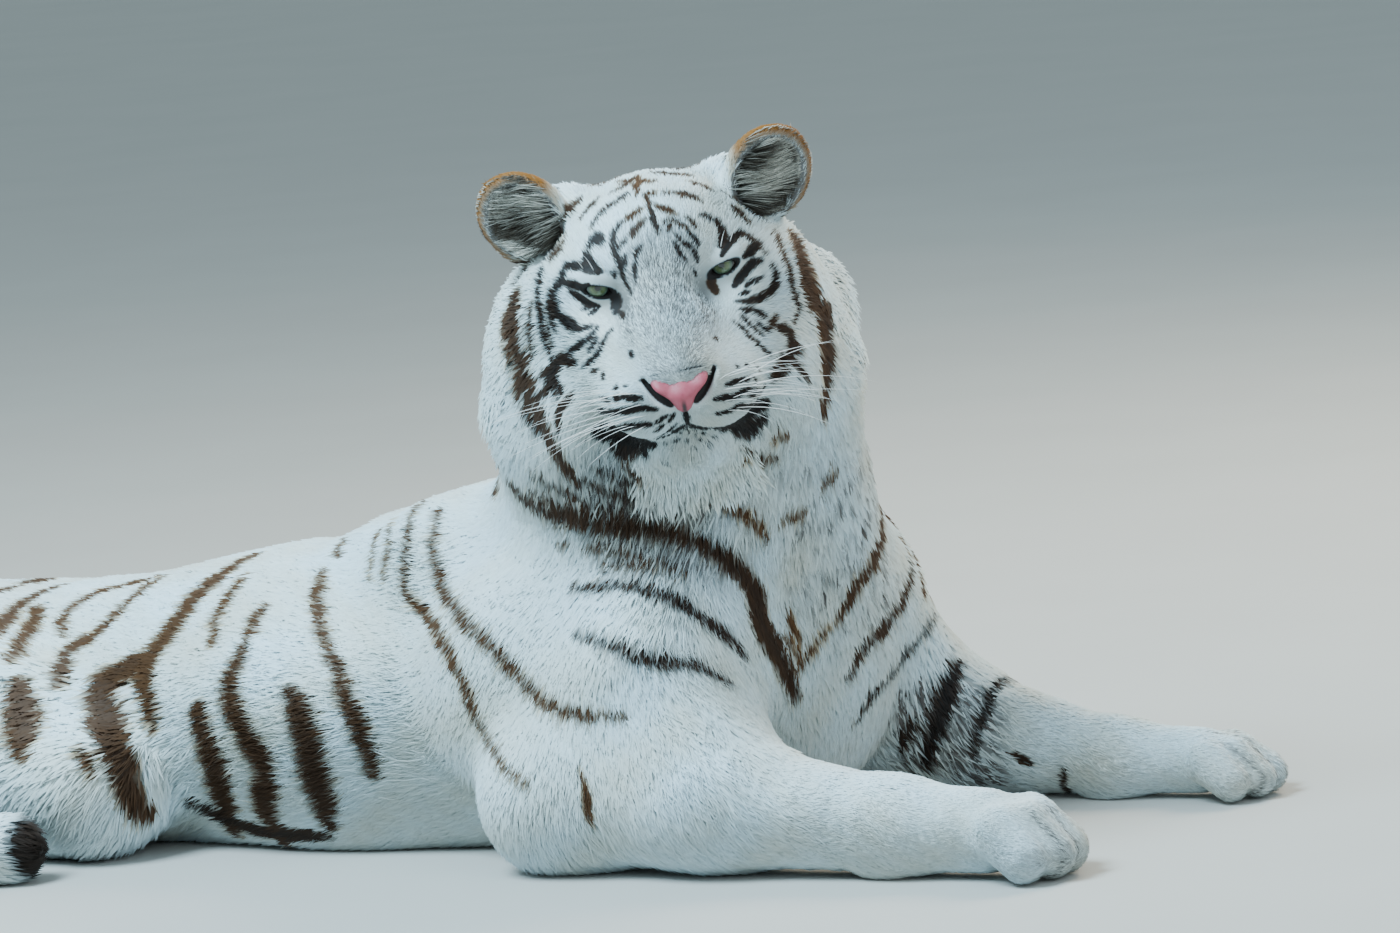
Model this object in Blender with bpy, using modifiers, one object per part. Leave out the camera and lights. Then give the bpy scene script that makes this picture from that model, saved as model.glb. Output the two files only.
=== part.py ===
"""A white tiger at life size, lying on its chest, forelegs stretched forward, head turned to its right.

The body is modelled like clay: soft masses are added to a grid of distances, each blending into
what is already there, and OpenVDB turns the grid into a surface. That surface is made coarse,
cut flat where it rests on the floor, and parted by thin cutters into the named parts of the body.

Metres. +X is forward along the forelegs, +Y is the tiger's left, +Z is up, the floor is at Z = 0.
"""

import math

import bmesh
import bpy
import numpy as np
import openvdb
from mathutils import Euler, Matrix, Vector

# Driving dimensions
BODY_CELL = 0.007
HEAD_CELL = 0.0035
SMALL_CELL = 0.0025
PAW_CELL = 0.004
GAP = 0.0005
BODY_FACES = 3500
HEAD_FACES = 2600
PAW_FACES = 600
WRIST = 0.34
NECK_ROOT = (0.02, -0.02, 0.340)

# The head's own frame: its origin is midway between the eyes, X runs to the nose,
# Y to the tiger's left and Z to the crown.
HEAD_AT = Vector((0.141, -0.188, 0.550))
HEAD_TURN = Euler((math.radians(5.6), math.radians(12.9), math.radians(-55.1)), "XYZ")
HEAD_FRAME = Matrix.Translation(HEAD_AT) @ HEAD_TURN.to_matrix().to_4x4()
NAPE = (-0.07, 0, -0.0925)
NAPE_FACES = Vector((0.68, 0, 0.735))
EYE = 0.0175
EYES_APART = 0.118

RIGHT, LEFT = -1, 1


class Clay:
    """A grid of distances to the surface of a body, negative inside it."""

    def __init__(self, low, high, cell, frame=None):
        self.low, self.cell = np.array(low), cell
        count = np.ceil((np.array(high) - self.low) / cell).astype(int) + 1
        self.grid = np.full(count, 1.0, np.float32)
        self.frame = frame or Matrix.Identity(4)

    def window(self, spots, reach):
        """The slices of the grid within reach of some points, and the grid's points there in self.frame."""
        spots = np.array([self.frame @ Vector(spot) for spot in spots])
        first = np.clip(((spots.min(0) - reach - self.low) / self.cell).astype(int), 0, None)
        last = ((spots.max(0) + reach - self.low) / self.cell).astype(int) + 2
        last = np.maximum(np.minimum(last, self.grid.shape), first)
        axes = [self.low[i] + self.cell * np.arange(first[i], last[i]) for i in range(3)]
        points = np.stack(np.meshgrid(*axes, indexing="ij"), axis=-1)
        home = np.array(self.frame.inverted())
        part = tuple(slice(a, b) for a, b in zip(first, last))
        return part, points @ home[:3, :3].T + home[:3, 3]

    def blend(self, part, distance, soft, sign):
        """Adds (sign 1) or carves (sign -1) a shape, with a fillet about as wide as soft."""
        old = sign * self.grid[part]
        overlap = np.maximum(soft - np.abs(old - distance), 0) / soft
        self.grid[part] = sign * (np.minimum(old, distance) - overlap**2 * soft / 4)

    def blob(self, at, size, turn=(0, 0, 0), soft=0.03, sign=1):
        """An ellipsoid with half-sizes size, turned by degrees about X, Y and Z."""
        part, points = self.window([at], max(size) + soft + 3 * self.cell)
        home = np.array(Euler([math.radians(a) for a in turn]).to_matrix())
        local = (points - np.array(at)) @ home
        near = np.linalg.norm(local / size, axis=-1)
        steep = np.linalg.norm(local / np.square(size), axis=-1)
        self.blend(part, near * (near - 1) / np.maximum(steep, 1e-9), soft, sign)

    def rope(self, spots, radii, soft=0.03, sign=1):
        """A round rod through some points, with a radius at each."""
        part, points = self.window(spots, max(radii) + soft + 3 * self.cell)
        distance = np.full(points.shape[:3], 9.0)
        for start, end, thick, thin in zip(spots, spots[1:], radii, radii[1:]):
            start, run = np.array(start), np.array(end) - np.array(start)
            along = np.clip((points - start) @ run / (run @ run), 0, 1)
            nearest = np.linalg.norm(points - start - along[..., None] * run, axis=-1)
            distance = np.minimum(distance, nearest - thick - along * (thin - thick))
        self.blend(part, distance, soft, sign)

    def mesh(self, name, level=0.0):
        volume = openvdb.FloatGrid(1.0)
        volume.copyFromArray(self.grid)
        points, quads = volume.convertToQuads(level)
        made = bpy.data.meshes.new(name)
        made.from_pydata(points * self.cell + self.low, [], quads)
        work = bmesh.new()
        work.from_mesh(made)
        bmesh.ops.recalc_face_normals(work, faces=work.faces)
        work.to_mesh(made)
        work.free()
        return made


def bend(spots, radii, steps=6):
    """A smooth curve through some points: the points and radii of a Catmull-Rom spline."""
    ends = [np.array([*spot, radius]) for spot, radius in zip(spots, radii)]
    ends = [2 * ends[0] - ends[1], *ends, 2 * ends[-1] - ends[-2]]
    made = []
    for a, b, c, d in zip(ends, ends[1:], ends[2:], ends[3:]):
        for t in np.arange(steps) / steps:
            square, cube = 2 * a - 5 * b + 4 * c - d, 3 * b - a - 3 * c + d
            made.append(0.5 * (2 * b + (c - a) * t + square * t**2 + cube * t**3))
    made.append(ends[-2])
    return [spot[:3] for spot in made], [spot[3] for spot in made]


def trunk(clay):
    clay.blob((-0.10, 0.005, 0.150), (0.22, 0.195, 0.175), soft=0.04)
    clay.blob((-0.35, 0.005, 0.112), (0.29, 0.205, 0.169), (0, 5, 0), soft=0.06)
    clay.blob((-0.62, -0.01, 0.105), (0.28, 0.190, 0.142), soft=0.06)
    clay.blob((-0.87, -0.04, 0.100), (0.20, 0.155, 0.132), (0, -6, 0), soft=0.06)
    clay.blob((0.06, 0.035, 0.150), (0.13, 0.165, 0.145), soft=0.05)
    for side in (RIGHT, LEFT):
        clay.blob((-0.13, side * 0.070, 0.255), (0.14, 0.06, 0.070), (0, 14, 0), soft=0.05)
    clay.rope([(0.0, 0.0, 0.26), (-0.28, 0.0, 0.225)], [0.11, 0.085], soft=0.06)


def foreleg(clay, side, elbow, middle, wrist, toes, slim):
    """Shoulder, upper arm, forearm and paw. elbow, middle, wrist and toes are places along it."""
    clay.rope([(0.075, side * 0.135, 0.20), elbow], [0.095, 0.070], soft=0.04)
    clay.rope([(0.085, side * 0.152, 0.175), (0.15, side * 0.195, 0.082)], [0.090, 0.066], soft=0.03)
    clay.blob((-0.04, side * 0.150, 0.165), (0.13, 0.075, 0.13), (0, 25, 0), soft=0.04)
    clay.rope(*bend([elbow, middle, wrist], [0.068, 0.061, 0.043 * slim]), soft=0.05)
    forepaw(clay, Vector(wrist), Vector(toes), slim)


def forepaw(clay, wrist, toes, slim):
    ahead = (toes - wrist).normalized()
    across = Vector((0, 0, 1)).cross(ahead)
    heel = wrist.lerp(toes, 0.48)
    heel.z = 0.042 * slim
    clay.rope([wrist, heel], [0.042 * slim, 0.040 * slim], soft=0.03)
    clay.blob(wrist - Vector((0.01, 0, 0.024 * slim)), (0.03, 0.026, 0.024), soft=0.02)
    for place in (-1.5, -0.5, 0.5, 1.5):
        back = 0.0 if abs(place) < 1 else 0.016
        knuckle = toes + across * place * 0.019 - ahead * (back + 0.050)
        tip = toes + across * place * 0.026 - ahead * (back + 0.024)
        knuckle.z, tip.z = 0.045 * slim, 0.025 * slim
        clay.rope([heel, knuckle, tip], [0.032 * slim, 0.028 * slim, 0.024 * slim], soft=0.012)


def hindleg(clay, side, hip, knee, hock, toes):
    hip, knee, hock, toes = Vector(hip), Vector(knee), Vector(hock), Vector(toes)
    clay.rope([hip, hip.lerp(knee, 0.6), knee], [0.105, 0.095, 0.062], soft=0.06)
    clay.blob(hip.lerp(knee, 0.35), (0.19, 0.075, 0.105), (0, 12, side * 12), soft=0.05)
    clay.rope(*bend([knee, knee.lerp(hock, 0.6), hock], [0.060, 0.046, 0.034]), soft=0.03)
    ahead = (toes - hock).normalized()
    across = Vector((0, 0, 1)).cross(ahead)
    ball = hock.lerp(toes, 0.62)
    clay.rope([hock, ball], [0.036, 0.038], soft=0.02)
    for place in (-1.5, -0.5, 0.5, 1.5):
        back = 0.0 if abs(place) < 1 else 0.014
        tip = toes + across * place * 0.023 - ahead * (back + 0.022)
        clay.rope([ball, tip], [0.033, 0.023], soft=0.012)


def neck(clay):
    clay.rope([(0.03, 0.01, 0.24), (0.070, -0.070, 0.43)], [0.179, 0.168], soft=0.06)
    clay.rope([(-0.03, 0.0, 0.24), (0.035, -0.060, 0.505)], [0.13, 0.090], soft=0.06)


def head(clay):
    """The skull's masses, the muzzle and the ruff, in the head's own frame."""
    clay.frame = HEAD_FRAME
    clay.blob((-0.088, 0, -0.010), (0.100, 0.100, 0.080), soft=0.04)
    clay.blob((-0.042, 0, 0.010), (0.050, 0.076, 0.046), (0, 20, 0), soft=0.03)
    for side in (RIGHT, LEFT):
        ruff = 0.106 if side == RIGHT else 0.087
        clay.rope([(-0.015, side * 0.015, -0.016), (0.096, side * 0.014, -0.066)], [0.029, 0.025], soft=0.03)
        clay.blob((-0.072, side * 0.076, -0.045), (0.080, 0.056, 0.066), soft=0.04)
        clay.blob((0.004, side * 0.044, -0.058), (0.055, 0.038, 0.036), (0, 20, 0), soft=0.035)
        clay.blob((-0.010, side * 0.072, -0.108), (0.060, 0.044, 0.050), soft=0.045)
        clay.blob((-0.100, side * ruff, -0.092), (0.078, 0.062, 0.084), soft=0.04)
        clay.blob((-0.095, side * ruff, -0.155), (0.075, 0.070, 0.060), (side * 20, 0, 0), soft=0.05)
        clay.blob((0.070, side * 0.034, -0.087), (0.048, 0.038, 0.031), (0, 14, -side * 14), soft=0.030)
        clay.rope([(0.050, side * 0.014, -0.128), (-0.09, side * 0.070, -0.10)], [0.037, 0.06], soft=0.03)
        clay.blob((-0.120, side * 0.082, 0.034), (0.028, 0.034, 0.030), (-side * 38, 0, 0), soft=0.03)
    clay.blob((-0.150, 0.101, -0.096), (0.050, 0.068, 0.066), soft=0.03)
    clay.blob((0.064, 0, -0.134), (0.044, 0.043, 0.033), soft=0.012)
    clay.blob((-0.03, 0, -0.150), (0.09, 0.09, 0.055), soft=0.04)
    for side in (RIGHT, LEFT):
        eye(clay, side)
    clay.frame = Matrix.Identity(4)


def eye(clay, side):
    """A shallow socket, the lids that wrap the eyeball, and the slit between them."""
    middle = side * EYES_APART / 2
    turn = (side * 15, 0, side * 18)
    clay.blob((0.031, middle + side * 0.003, -0.003), (0.034, 0.030, 0.022), turn, soft=0.016, sign=-1)
    clay.blob((-EYE, middle, 0), (EYE + 0.003, EYE + 0.003, EYE + 0.002), soft=0.008)
    clay.blob((0.004, middle, 0), (0.018, 0.0145, 0.0070), (side * 15, 0, 0), soft=0.002, sign=-1)


def tail(clay):
    """It leaves the rump, turns round beside it and lies along the outside of the right hind foot."""
    root = [(-0.96, -0.05, 0.11), (-1.07, -0.09, 0.075), (-1.16, -0.20, 0.046), (-1.14, -0.32, 0.038)]
    rest = [(-1.01, -0.395, 0.0355), (-0.85, -0.41, 0.0345), (-0.69, -0.38, 0.0345), (-0.566, -0.333, 0.0335)]
    spots, radii = bend(root + rest, [0.055, 0.048, 0.043, 0.040, 0.038, 0.037, 0.037, 0.036])
    clay.rope(spots[:13], radii[:13], soft=0.03)
    clay.rope(spots[12:], radii[12:], soft=0.004)


def sculpt(clay):
    trunk(clay)
    near = [(-0.01, -0.195, 0.072), (0.15, -0.195, 0.066), (0.34, -0.185, 0.045), (0.525, -0.175, 0)]
    far = [(0.02, 0.20, 0.074), (0.18, 0.205, 0.060), (0.355, 0.205, 0.036), (0.525, 0.215, 0)]
    foreleg(clay, RIGHT, *near, 1.0)
    foreleg(clay, LEFT, *far, 0.82)
    near = [(-0.86, -0.11, 0.115), (-0.550, -0.208, 0.068), (-0.92, -0.20, 0.042), (-0.66, -0.24, 0.024)]
    far = [(-0.86, 0.04, 0.115), (-0.475, 0.205, 0.068), (-0.90, 0.20, 0.042), (-0.60, 0.265, 0.024)]
    hindleg(clay, RIGHT, *near)
    hindleg(clay, LEFT, *far)
    neck(clay)
    head(clay)
    tail(clay)


def ear(side):
    """One ear: a rounded cup, open forwards and a little outwards, leaning out from the head."""
    clay = Clay((-0.25, -0.45, 0.48), (0.30, 0.10, 0.75), SMALL_CELL, HEAD_FRAME)
    turn = (-side * 38, 0, side * 12)
    clay.blob((-0.090, side * 0.113, 0.051), (0.023, 0.041, 0.048), turn, soft=0.01)
    clay.blob((-0.068, side * 0.116, 0.052), (0.026, 0.035, 0.042), turn, soft=0.006, sign=-1)
    return clay


def nose():
    """The bare leather at the tip of the muzzle: wide above, narrow where it meets the lip."""
    clay = Clay((0.05, -0.40, 0.38), (0.32, -0.15, 0.60), SMALL_CELL, HEAD_FRAME)
    clay.blob((0.106, 0, -0.058), (0.027, 0.031, 0.015), (0, 22, 0), soft=0.01)
    clay.blob((0.108, 0, -0.074), (0.022, 0.013, 0.016), soft=0.012)
    return clay


def linked(name, mesh):
    thing = bpy.data.objects.new(name, mesh)
    bpy.context.scene.collection.objects.link(thing)
    return thing


def apply(thing):
    bpy.ops.object.select_all(action="DESELECT")
    bpy.context.view_layer.objects.active = thing
    thing.select_set(True)
    for modifier in list(thing.modifiers):
        bpy.ops.object.modifier_apply(modifier=modifier.name)


def solid(name, clay, faces):
    """An object made from clay, thinned to about so many triangles."""
    thing = linked(name, clay.mesh(name))
    thin = thing.modifiers.new("thin", "DECIMATE")
    thin.ratio = faces / (2 * len(thing.data.polygons))
    apply(thing)
    return thing


def subtract(thing, cutters):
    for cutter in cutters:
        cut = thing.modifiers.new("cut", "BOOLEAN")
        cut.object = cutter
        cut.operation = "DIFFERENCE"
    apply(thing)


def pieces(thing):
    """The separate bodies that the cutters left, largest first."""
    bpy.ops.object.select_all(action="DESELECT")
    bpy.context.view_layer.objects.active = thing
    thing.select_set(True)
    bpy.ops.mesh.separate(type="LOOSE")
    return sorted(bpy.context.selected_objects, key=lambda piece: -len(piece.data.polygons))


def drop(things):
    for thing in things:
        bpy.data.objects.remove(thing)


def middle_of(thing):
    spots = np.array([vertex.co for vertex in thing.data.vertices])
    return (spots.min(axis=0) + spots.max(axis=0)) / 2


def named(found, places):
    """Gives each name to the piece of which the middle is nearest to its place, and drops the others."""
    kept = {}
    for name, place in places.items():
        kept[name] = min(found, key=lambda piece: np.linalg.norm(middle_of(piece) - place))
    drop(set(found) - set(kept.values()))
    for name, piece in kept.items():
        piece.name = name
    return kept


def disc(at, normal, radius):
    """A thin round cutter, square to normal."""
    turn = Vector(normal).to_track_quat("Z", "Y").to_euler()
    bpy.ops.mesh.primitive_cylinder_add(vertices=48, radius=radius, depth=GAP, location=at, rotation=turn)
    return bpy.context.object


def block(at, normal, size=1.6):
    """A large cube that fills the space behind a plane through at."""
    normal = Vector(normal).normalized()
    turn = normal.to_track_quat("Z", "Y").to_euler()
    bpy.ops.mesh.primitive_cube_add(size=size, location=Vector(at) - normal * size / 2, rotation=turn)
    return bpy.context.object


def plate(side, nearest, back, front, top, bend_above):
    """A thin upright cutter beside the trunk, that bends outwards behind, above and, at the hips, in front.
    nearest is where it is nearest to the trunk's own middle: along, out to the side, and up."""
    ahead, out, rise = nearest
    xs, zs = np.linspace(back, front, 9), np.linspace(-0.05, top, 8)
    x, z = np.meshgrid(xs, zs, indexing="ij")
    along = x - ahead
    if ahead > 0:
        along = np.minimum(along, 0)
    y = side * (out + 0.9 * along**2 + bend_above * np.maximum(z - rise, 0) ** 2)
    sheet = bmesh.new()
    spots = [[sheet.verts.new(spot) for spot in row] for row in np.stack([x, y, z], axis=-1)]
    for near, far in zip(spots, spots[1:]):
        for a, b, c, d in zip(near, far, far[1:], near[1:]):
            sheet.faces.new([a, b, c, d])
    made = bpy.data.meshes.new("plate")
    sheet.to_mesh(made)
    sheet.free()
    thing = linked("plate", made)
    thick = thing.modifiers.new("thick", "SOLIDIFY")
    thick.thickness = GAP
    thick.offset = 0
    apply(thing)
    outward(thing)
    return thing


def outward(thing):
    work = bmesh.new()
    work.from_mesh(thing.data)
    bmesh.ops.recalc_face_normals(work, faces=work.faces)
    work.to_mesh(thing.data)
    work.free()


def ball(name, at, radius):
    bpy.ops.mesh.primitive_uv_sphere_add(segments=16, ring_count=10, radius=radius, location=at)
    thing = bpy.context.object
    thing.name = name
    bpy.ops.object.transform_apply()
    return thing


def grown(thing):
    """A copy of thing that is larger by the gap on every side."""
    copy = linked("grown", thing.data.copy())
    swell = copy.modifiers.new("swell", "DISPLACE")
    swell.strength = GAP
    swell.mid_level = 0
    apply(copy)
    return copy


def material(name, colour, roughness):
    made = bpy.data.materials.new(name)
    made.use_nodes = True
    surface = made.node_tree.nodes["Principled BSDF"]
    surface.inputs["Base Color"].default_value = (*colour, 1)
    surface.inputs["Roughness"].default_value = roughness
    surface.inputs["Metallic"].default_value = 0
    return made


def body_parts():
    """Trunk, legs and tail from a coarse body, then neck, parted by thin cutters."""
    clay = Clay((-1.27, -0.55, -0.03), (0.60, 0.42, 0.62), BODY_CELL)
    sculpt(clay)
    body = solid("body", clay, BODY_FACES)
    cutters = [block((0, 0, 0), (0, 0, 1), 3)]
    cutters.append(block(HEAD_FRAME @ Vector(NAPE), HEAD_FRAME.to_3x3() @ -NAPE_FACES, 0.6))
    cutters.append(disc(NECK_ROOT, (0.18, 0, 1), 0.25))
    cutters.append(disc((-1.085, -0.105, 0.068), (0.80, 0.75, 0.30), 0.10))
    cutters.append(block((WRIST, 0, 0), (-1, 0, 0), 0.8))
    for side in (RIGHT, LEFT):
        cutters.append(plate(side, (0.05, 0.122, 0.12), -0.30, 0.215, 0.36, 3.2 - 0.8 * side))
        cutters.append(plate(side, (-0.72, 0.115 - side * 0.005, 0.13), -1.12, -0.36, 0.34, 2.4))
    subtract(body, cutters)
    drop(cutters)
    return named(pieces(body), {
        "trunk": (-0.4, 0, 0.18), "neck": (0.05, -0.05, 0.40), "tail": (-0.85, -0.28, 0.05),
        "foreleg_right": (0.05, -0.19, 0.16), "foreleg_left": (0.05, 0.20, 0.16),
        "hindleg_right": (-0.69, -0.25, 0.11), "hindleg_left": (-0.65, 0.23, 0.11),
    })


def paws():
    clay = Clay((0.30, -0.28, -0.03), (0.56, 0.32, 0.12), PAW_CELL)
    sculpt(clay)
    both = solid("paws", clay, PAW_FACES)
    cutters = [block((0, 0, 0), (0, 0, 1), 3), block((WRIST + GAP, 0, 0), (1, 0, 0), 1.6)]
    subtract(both, cutters)
    drop(cutters)
    return named(pieces(both), {"forepaw_right": (0.44, -0.18, 0.04), "forepaw_left": (0.44, 0.21, 0.04)})


def head_parts():
    """Head, ears, eyes and nose: the small parts sit in pockets of the head."""
    clay = Clay((-0.20, -0.43, 0.30), (0.36, 0.18, 0.70), HEAD_CELL)
    sculpt(clay)
    skull = solid("head", clay, HEAD_FACES)
    small = {"nose": solid("nose", nose(), 220)}
    for side, word in ((RIGHT, "right"), (LEFT, "left")):
        small["ear_" + word] = solid("ear_" + word, ear(side), 340)
        socket = HEAD_FRAME @ Vector((-EYE, side * EYES_APART / 2, 0))
        small["eye_" + word] = ball("eye_" + word, socket, EYE)
    behind = block(HEAD_FRAME @ (Vector(NAPE) + GAP * NAPE_FACES), HEAD_FRAME.to_3x3() @ NAPE_FACES, 0.9)
    cutters = [behind] + [grown(thing) for thing in small.values()]
    subtract(skull, cutters)
    drop(cutters)
    return {"head": pieces(skull)[0], **small}


def main():
    drop(list(bpy.data.objects))
    parts = {**body_parts(), **paws(), **head_parts()}
    coat = material("coat", (0.78, 0.77, 0.74), 0.85)
    looks = {
        "ear_right": material("ear_fur", (0.42, 0.33, 0.25), 0.85),
        "eye_right": material("eye", (0.35, 0.42, 0.28), 0.08),
        "nose": material("nose_leather", (0.72, 0.36, 0.36), 0.45),
    }
    looks["ear_left"], looks["eye_left"] = looks["ear_right"], looks["eye_right"]
    corners = [vertex.co for thing in parts.values() for vertex in thing.data.vertices]
    low, high = np.min(corners, axis=0), np.max(corners, axis=0)
    tiger = bpy.data.collections.new("white_tiger")
    bpy.context.scene.collection.children.link(tiger)
    for name, thing in parts.items():
        thing.data.transform(Matrix.Translation((-(low[0] + high[0]) / 2, -(low[1] + high[1]) / 2, 0)))
        thing.data.name = name
        thing.data.materials.clear()
        thing.data.materials.append(looks.get(name, coat))
        for holder in thing.users_collection:
            holder.objects.unlink(thing)
        tiger.objects.link(thing)
        print(name, sum(len(face.vertices) - 2 for face in thing.data.polygons))


main()
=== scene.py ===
# %% [markdown]
# # A white tiger, lying down
# The animal lies on its chest with its forelegs stretched out and its head turned to its right. Its solids
# are already made, so this lesson makes what the eye meets: one skin without seams, eyes, nose and whiskers,
# and a coat of about three hundred thousand tufts of hair that carry the stripes.

# %% Load the solids
import math

import bmesh
import bpy
import numpy as np
import openvdb
from mathutils import Euler, Matrix, Vector


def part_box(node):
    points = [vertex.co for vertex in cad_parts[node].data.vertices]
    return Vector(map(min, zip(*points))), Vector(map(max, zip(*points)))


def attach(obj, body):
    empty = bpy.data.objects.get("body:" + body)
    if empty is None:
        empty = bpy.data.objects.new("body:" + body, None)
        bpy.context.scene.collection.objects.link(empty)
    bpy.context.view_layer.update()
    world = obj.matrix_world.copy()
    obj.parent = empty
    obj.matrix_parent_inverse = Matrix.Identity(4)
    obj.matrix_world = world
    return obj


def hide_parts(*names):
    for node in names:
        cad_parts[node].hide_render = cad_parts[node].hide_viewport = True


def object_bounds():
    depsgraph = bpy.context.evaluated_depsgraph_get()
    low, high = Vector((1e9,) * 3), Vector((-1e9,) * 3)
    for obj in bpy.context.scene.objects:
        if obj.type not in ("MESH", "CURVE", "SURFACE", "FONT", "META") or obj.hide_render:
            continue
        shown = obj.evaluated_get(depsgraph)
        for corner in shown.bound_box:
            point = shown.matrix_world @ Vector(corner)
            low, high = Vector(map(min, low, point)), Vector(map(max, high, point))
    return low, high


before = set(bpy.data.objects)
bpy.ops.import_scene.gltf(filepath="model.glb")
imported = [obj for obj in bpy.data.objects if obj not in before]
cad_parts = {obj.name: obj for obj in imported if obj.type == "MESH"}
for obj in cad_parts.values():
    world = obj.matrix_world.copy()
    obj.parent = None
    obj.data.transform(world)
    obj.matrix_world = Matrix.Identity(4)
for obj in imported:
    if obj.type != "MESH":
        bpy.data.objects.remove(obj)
cad_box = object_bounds()
bpy.ops.object.select_all(action="DESELECT")
print("solids:", ", ".join(sorted(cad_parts)))

# %% [markdown]
# The measures are in metres. The body is modelled round its own origin, under the withers, with +X forward,
# +Y to the tiger's left and +Z up. The head has a frame of its own, midway between the eyes, with X to the
# nose, Y to the left and Z to the crown. The middle of the two eyeballs tells how far the solids were moved
# from that origin.

# %% Frames and measures
RIGHT, LEFT = -1, 1
EYE = 0.0175
EYES_APART = 0.118
EAR_LEAN, EAR_YAW = 38, 12
NOSE_TIP = [0.118, 0, -0.060]


def turned(roll, pitch, yaw):
    """The matrix of a turn by degrees about X, Y and Z."""
    return np.array(Euler([math.radians(angle) for angle in (roll, pitch, yaw)]).to_matrix())


HEAD_AT = np.array([0.141, -0.188, 0.550])
HEAD_TURN = turned(5.6, 12.9, -55.1)


def from_head(spots):
    """Points of the head's frame, in the body's."""
    return np.asarray(spots) @ HEAD_TURN.T + HEAD_AT


def to_head(spots):
    """Points of the body's frame, in the head's."""
    return (np.asarray(spots) - HEAD_AT) @ HEAD_TURN


def ear_place(side):
    """The middle of an ear in the head's frame, and the ear's turn."""
    return np.array([-0.090, side * 0.113, 0.051]), turned(-side * EAR_LEAN, 0, side * EAR_YAW)


def unit(v):
    """The same vectors, one metre long."""
    return v / np.maximum(np.linalg.norm(v, axis=1, keepdims=True), 1e-9)


eyes = [np.mean([*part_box("eye_right")], axis=0), np.mean([*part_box("eye_left")], axis=0)]
SHIFT = np.mean(eyes, axis=0) - from_head([-EYE, 0, 0])
print("the body's origin is at", np.round(SHIFT, 4))

# %% [markdown]
# Fur hides a body's edges, so a body is best made as a sculptor does, from soft masses of clay that run into
# each other. Here the clay is a number for each point of space: its distance to the surface, below zero
# inside. A mass is added by taking the smaller of the old and the new distance, with a fillet where they are
# alike. Each mass is laid thinner by the depth of the coat that will grow on it, unless the tips of the hair
# are asked for.

# %% Clay


class Clay:
    """Distances from many points to the surface of a body, negative inside it."""

    def __init__(self, points, bare=True):
        self.points = points
        self.bare = bare
        self.distance = np.full(len(points), 0.2)
        self.in_head(False)
        self.coat = 0.0

    def in_head(self, yes):
        """Later masses are placed in the head's frame, or again in the body's."""
        self.turn, self.at = (HEAD_TURN, HEAD_AT) if yes else (np.eye(3), np.zeros(3))

    def near(self, spots, reach):
        """Which points are within reach of some spots, and where they are in the current frame."""
        spots = np.array(spots) @ self.turn.T + self.at
        above = self.points > spots.min(0) - reach
        below = self.points < spots.max(0) + reach
        found = np.flatnonzero(np.all(above & below, axis=1))
        return found, (self.points[found] - self.at) @ self.turn

    def blend(self, found, distance, soft, sign):
        """Joins a mass to the clay, or with sign -1 cuts it out, with a fillet about soft wide."""
        old = sign * self.distance[found]
        if self.bare:
            distance = distance + sign * self.coat
        overlap = np.maximum(soft - np.abs(old - distance), 0) / soft
        self.distance[found] = sign * (np.minimum(old, distance) - overlap**2 * soft / 4)

    def blob(self, at, size, turn=(0, 0, 0), soft=0.03, sign=1):
        """An ellipsoid with half-sizes size, turned by degrees about X, Y and Z. Sign -1 carves it out."""
        found, points = self.near([at], max(size) + soft + 0.02)
        local = (points - np.array(at)) @ turned(*turn)
        close = np.linalg.norm(local / size, axis=-1)
        steep = np.linalg.norm(local / np.square(size), axis=-1)
        self.blend(found, close * (close - 1) / np.maximum(steep, 1e-9), soft, sign)

    def rope(self, spots, radii, soft=0.03, sign=1):
        """A round rod through some spots, with a radius at each."""
        found, points = self.near(spots, max(radii) + soft + 0.02)
        distance = np.full(len(points), 9.0)
        for start, end, thick, thin in zip(spots, spots[1:], radii, radii[1:]):
            start, run = np.array(start), np.array(end) - np.array(start)
            along = np.clip((points - start) @ run / (run @ run), 0, 1)
            nearest = np.linalg.norm(points - start - along[:, None] * run, axis=1)
            distance = np.minimum(distance, nearest - thick - along * (thin - thick))
        self.blend(found, distance, soft, sign)


def bend(spots, radii, steps=6):
    """A smooth curve through some spots: the points and radii of a Catmull-Rom spline."""
    ends = [np.array([*spot, radius]) for spot, radius in zip(spots, radii)]
    ends = [2 * ends[0] - ends[1], *ends, 2 * ends[-1] - ends[-2]]
    made = []
    for a, b, c, d in zip(ends, ends[1:], ends[2:], ends[3:]):
        for t in np.arange(steps) / steps:
            square, cube = 2 * a - 5 * b + 4 * c - d, 3 * b - a - 3 * c + d
            made.append(0.5 * (2 * b + (c - a) * t + square * t**2 + cube * t**3))
    made.append(ends[-2])
    return [spot[:3] for spot in made], [spot[3] for spot in made]


trial = Clay(np.array([[0.12, 0, 0]]))
trial.blob((0, 0, 0), (0.1, 0.1, 0.1))
print("2 cm outside a ball, the clay tells", trial.distance.round(3), "m")

# %% [markdown]
# The trunk is five long masses with the shoulder blades and the spine on top. The coat is 11 mm deep on the
# trunk, where the hair lies flat, and 4 mm on the lower legs. Each leg is a chain of tapered rods from joint
# to joint, because a leg's length is set by its bones.

# %% Trunk, legs and tail


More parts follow.
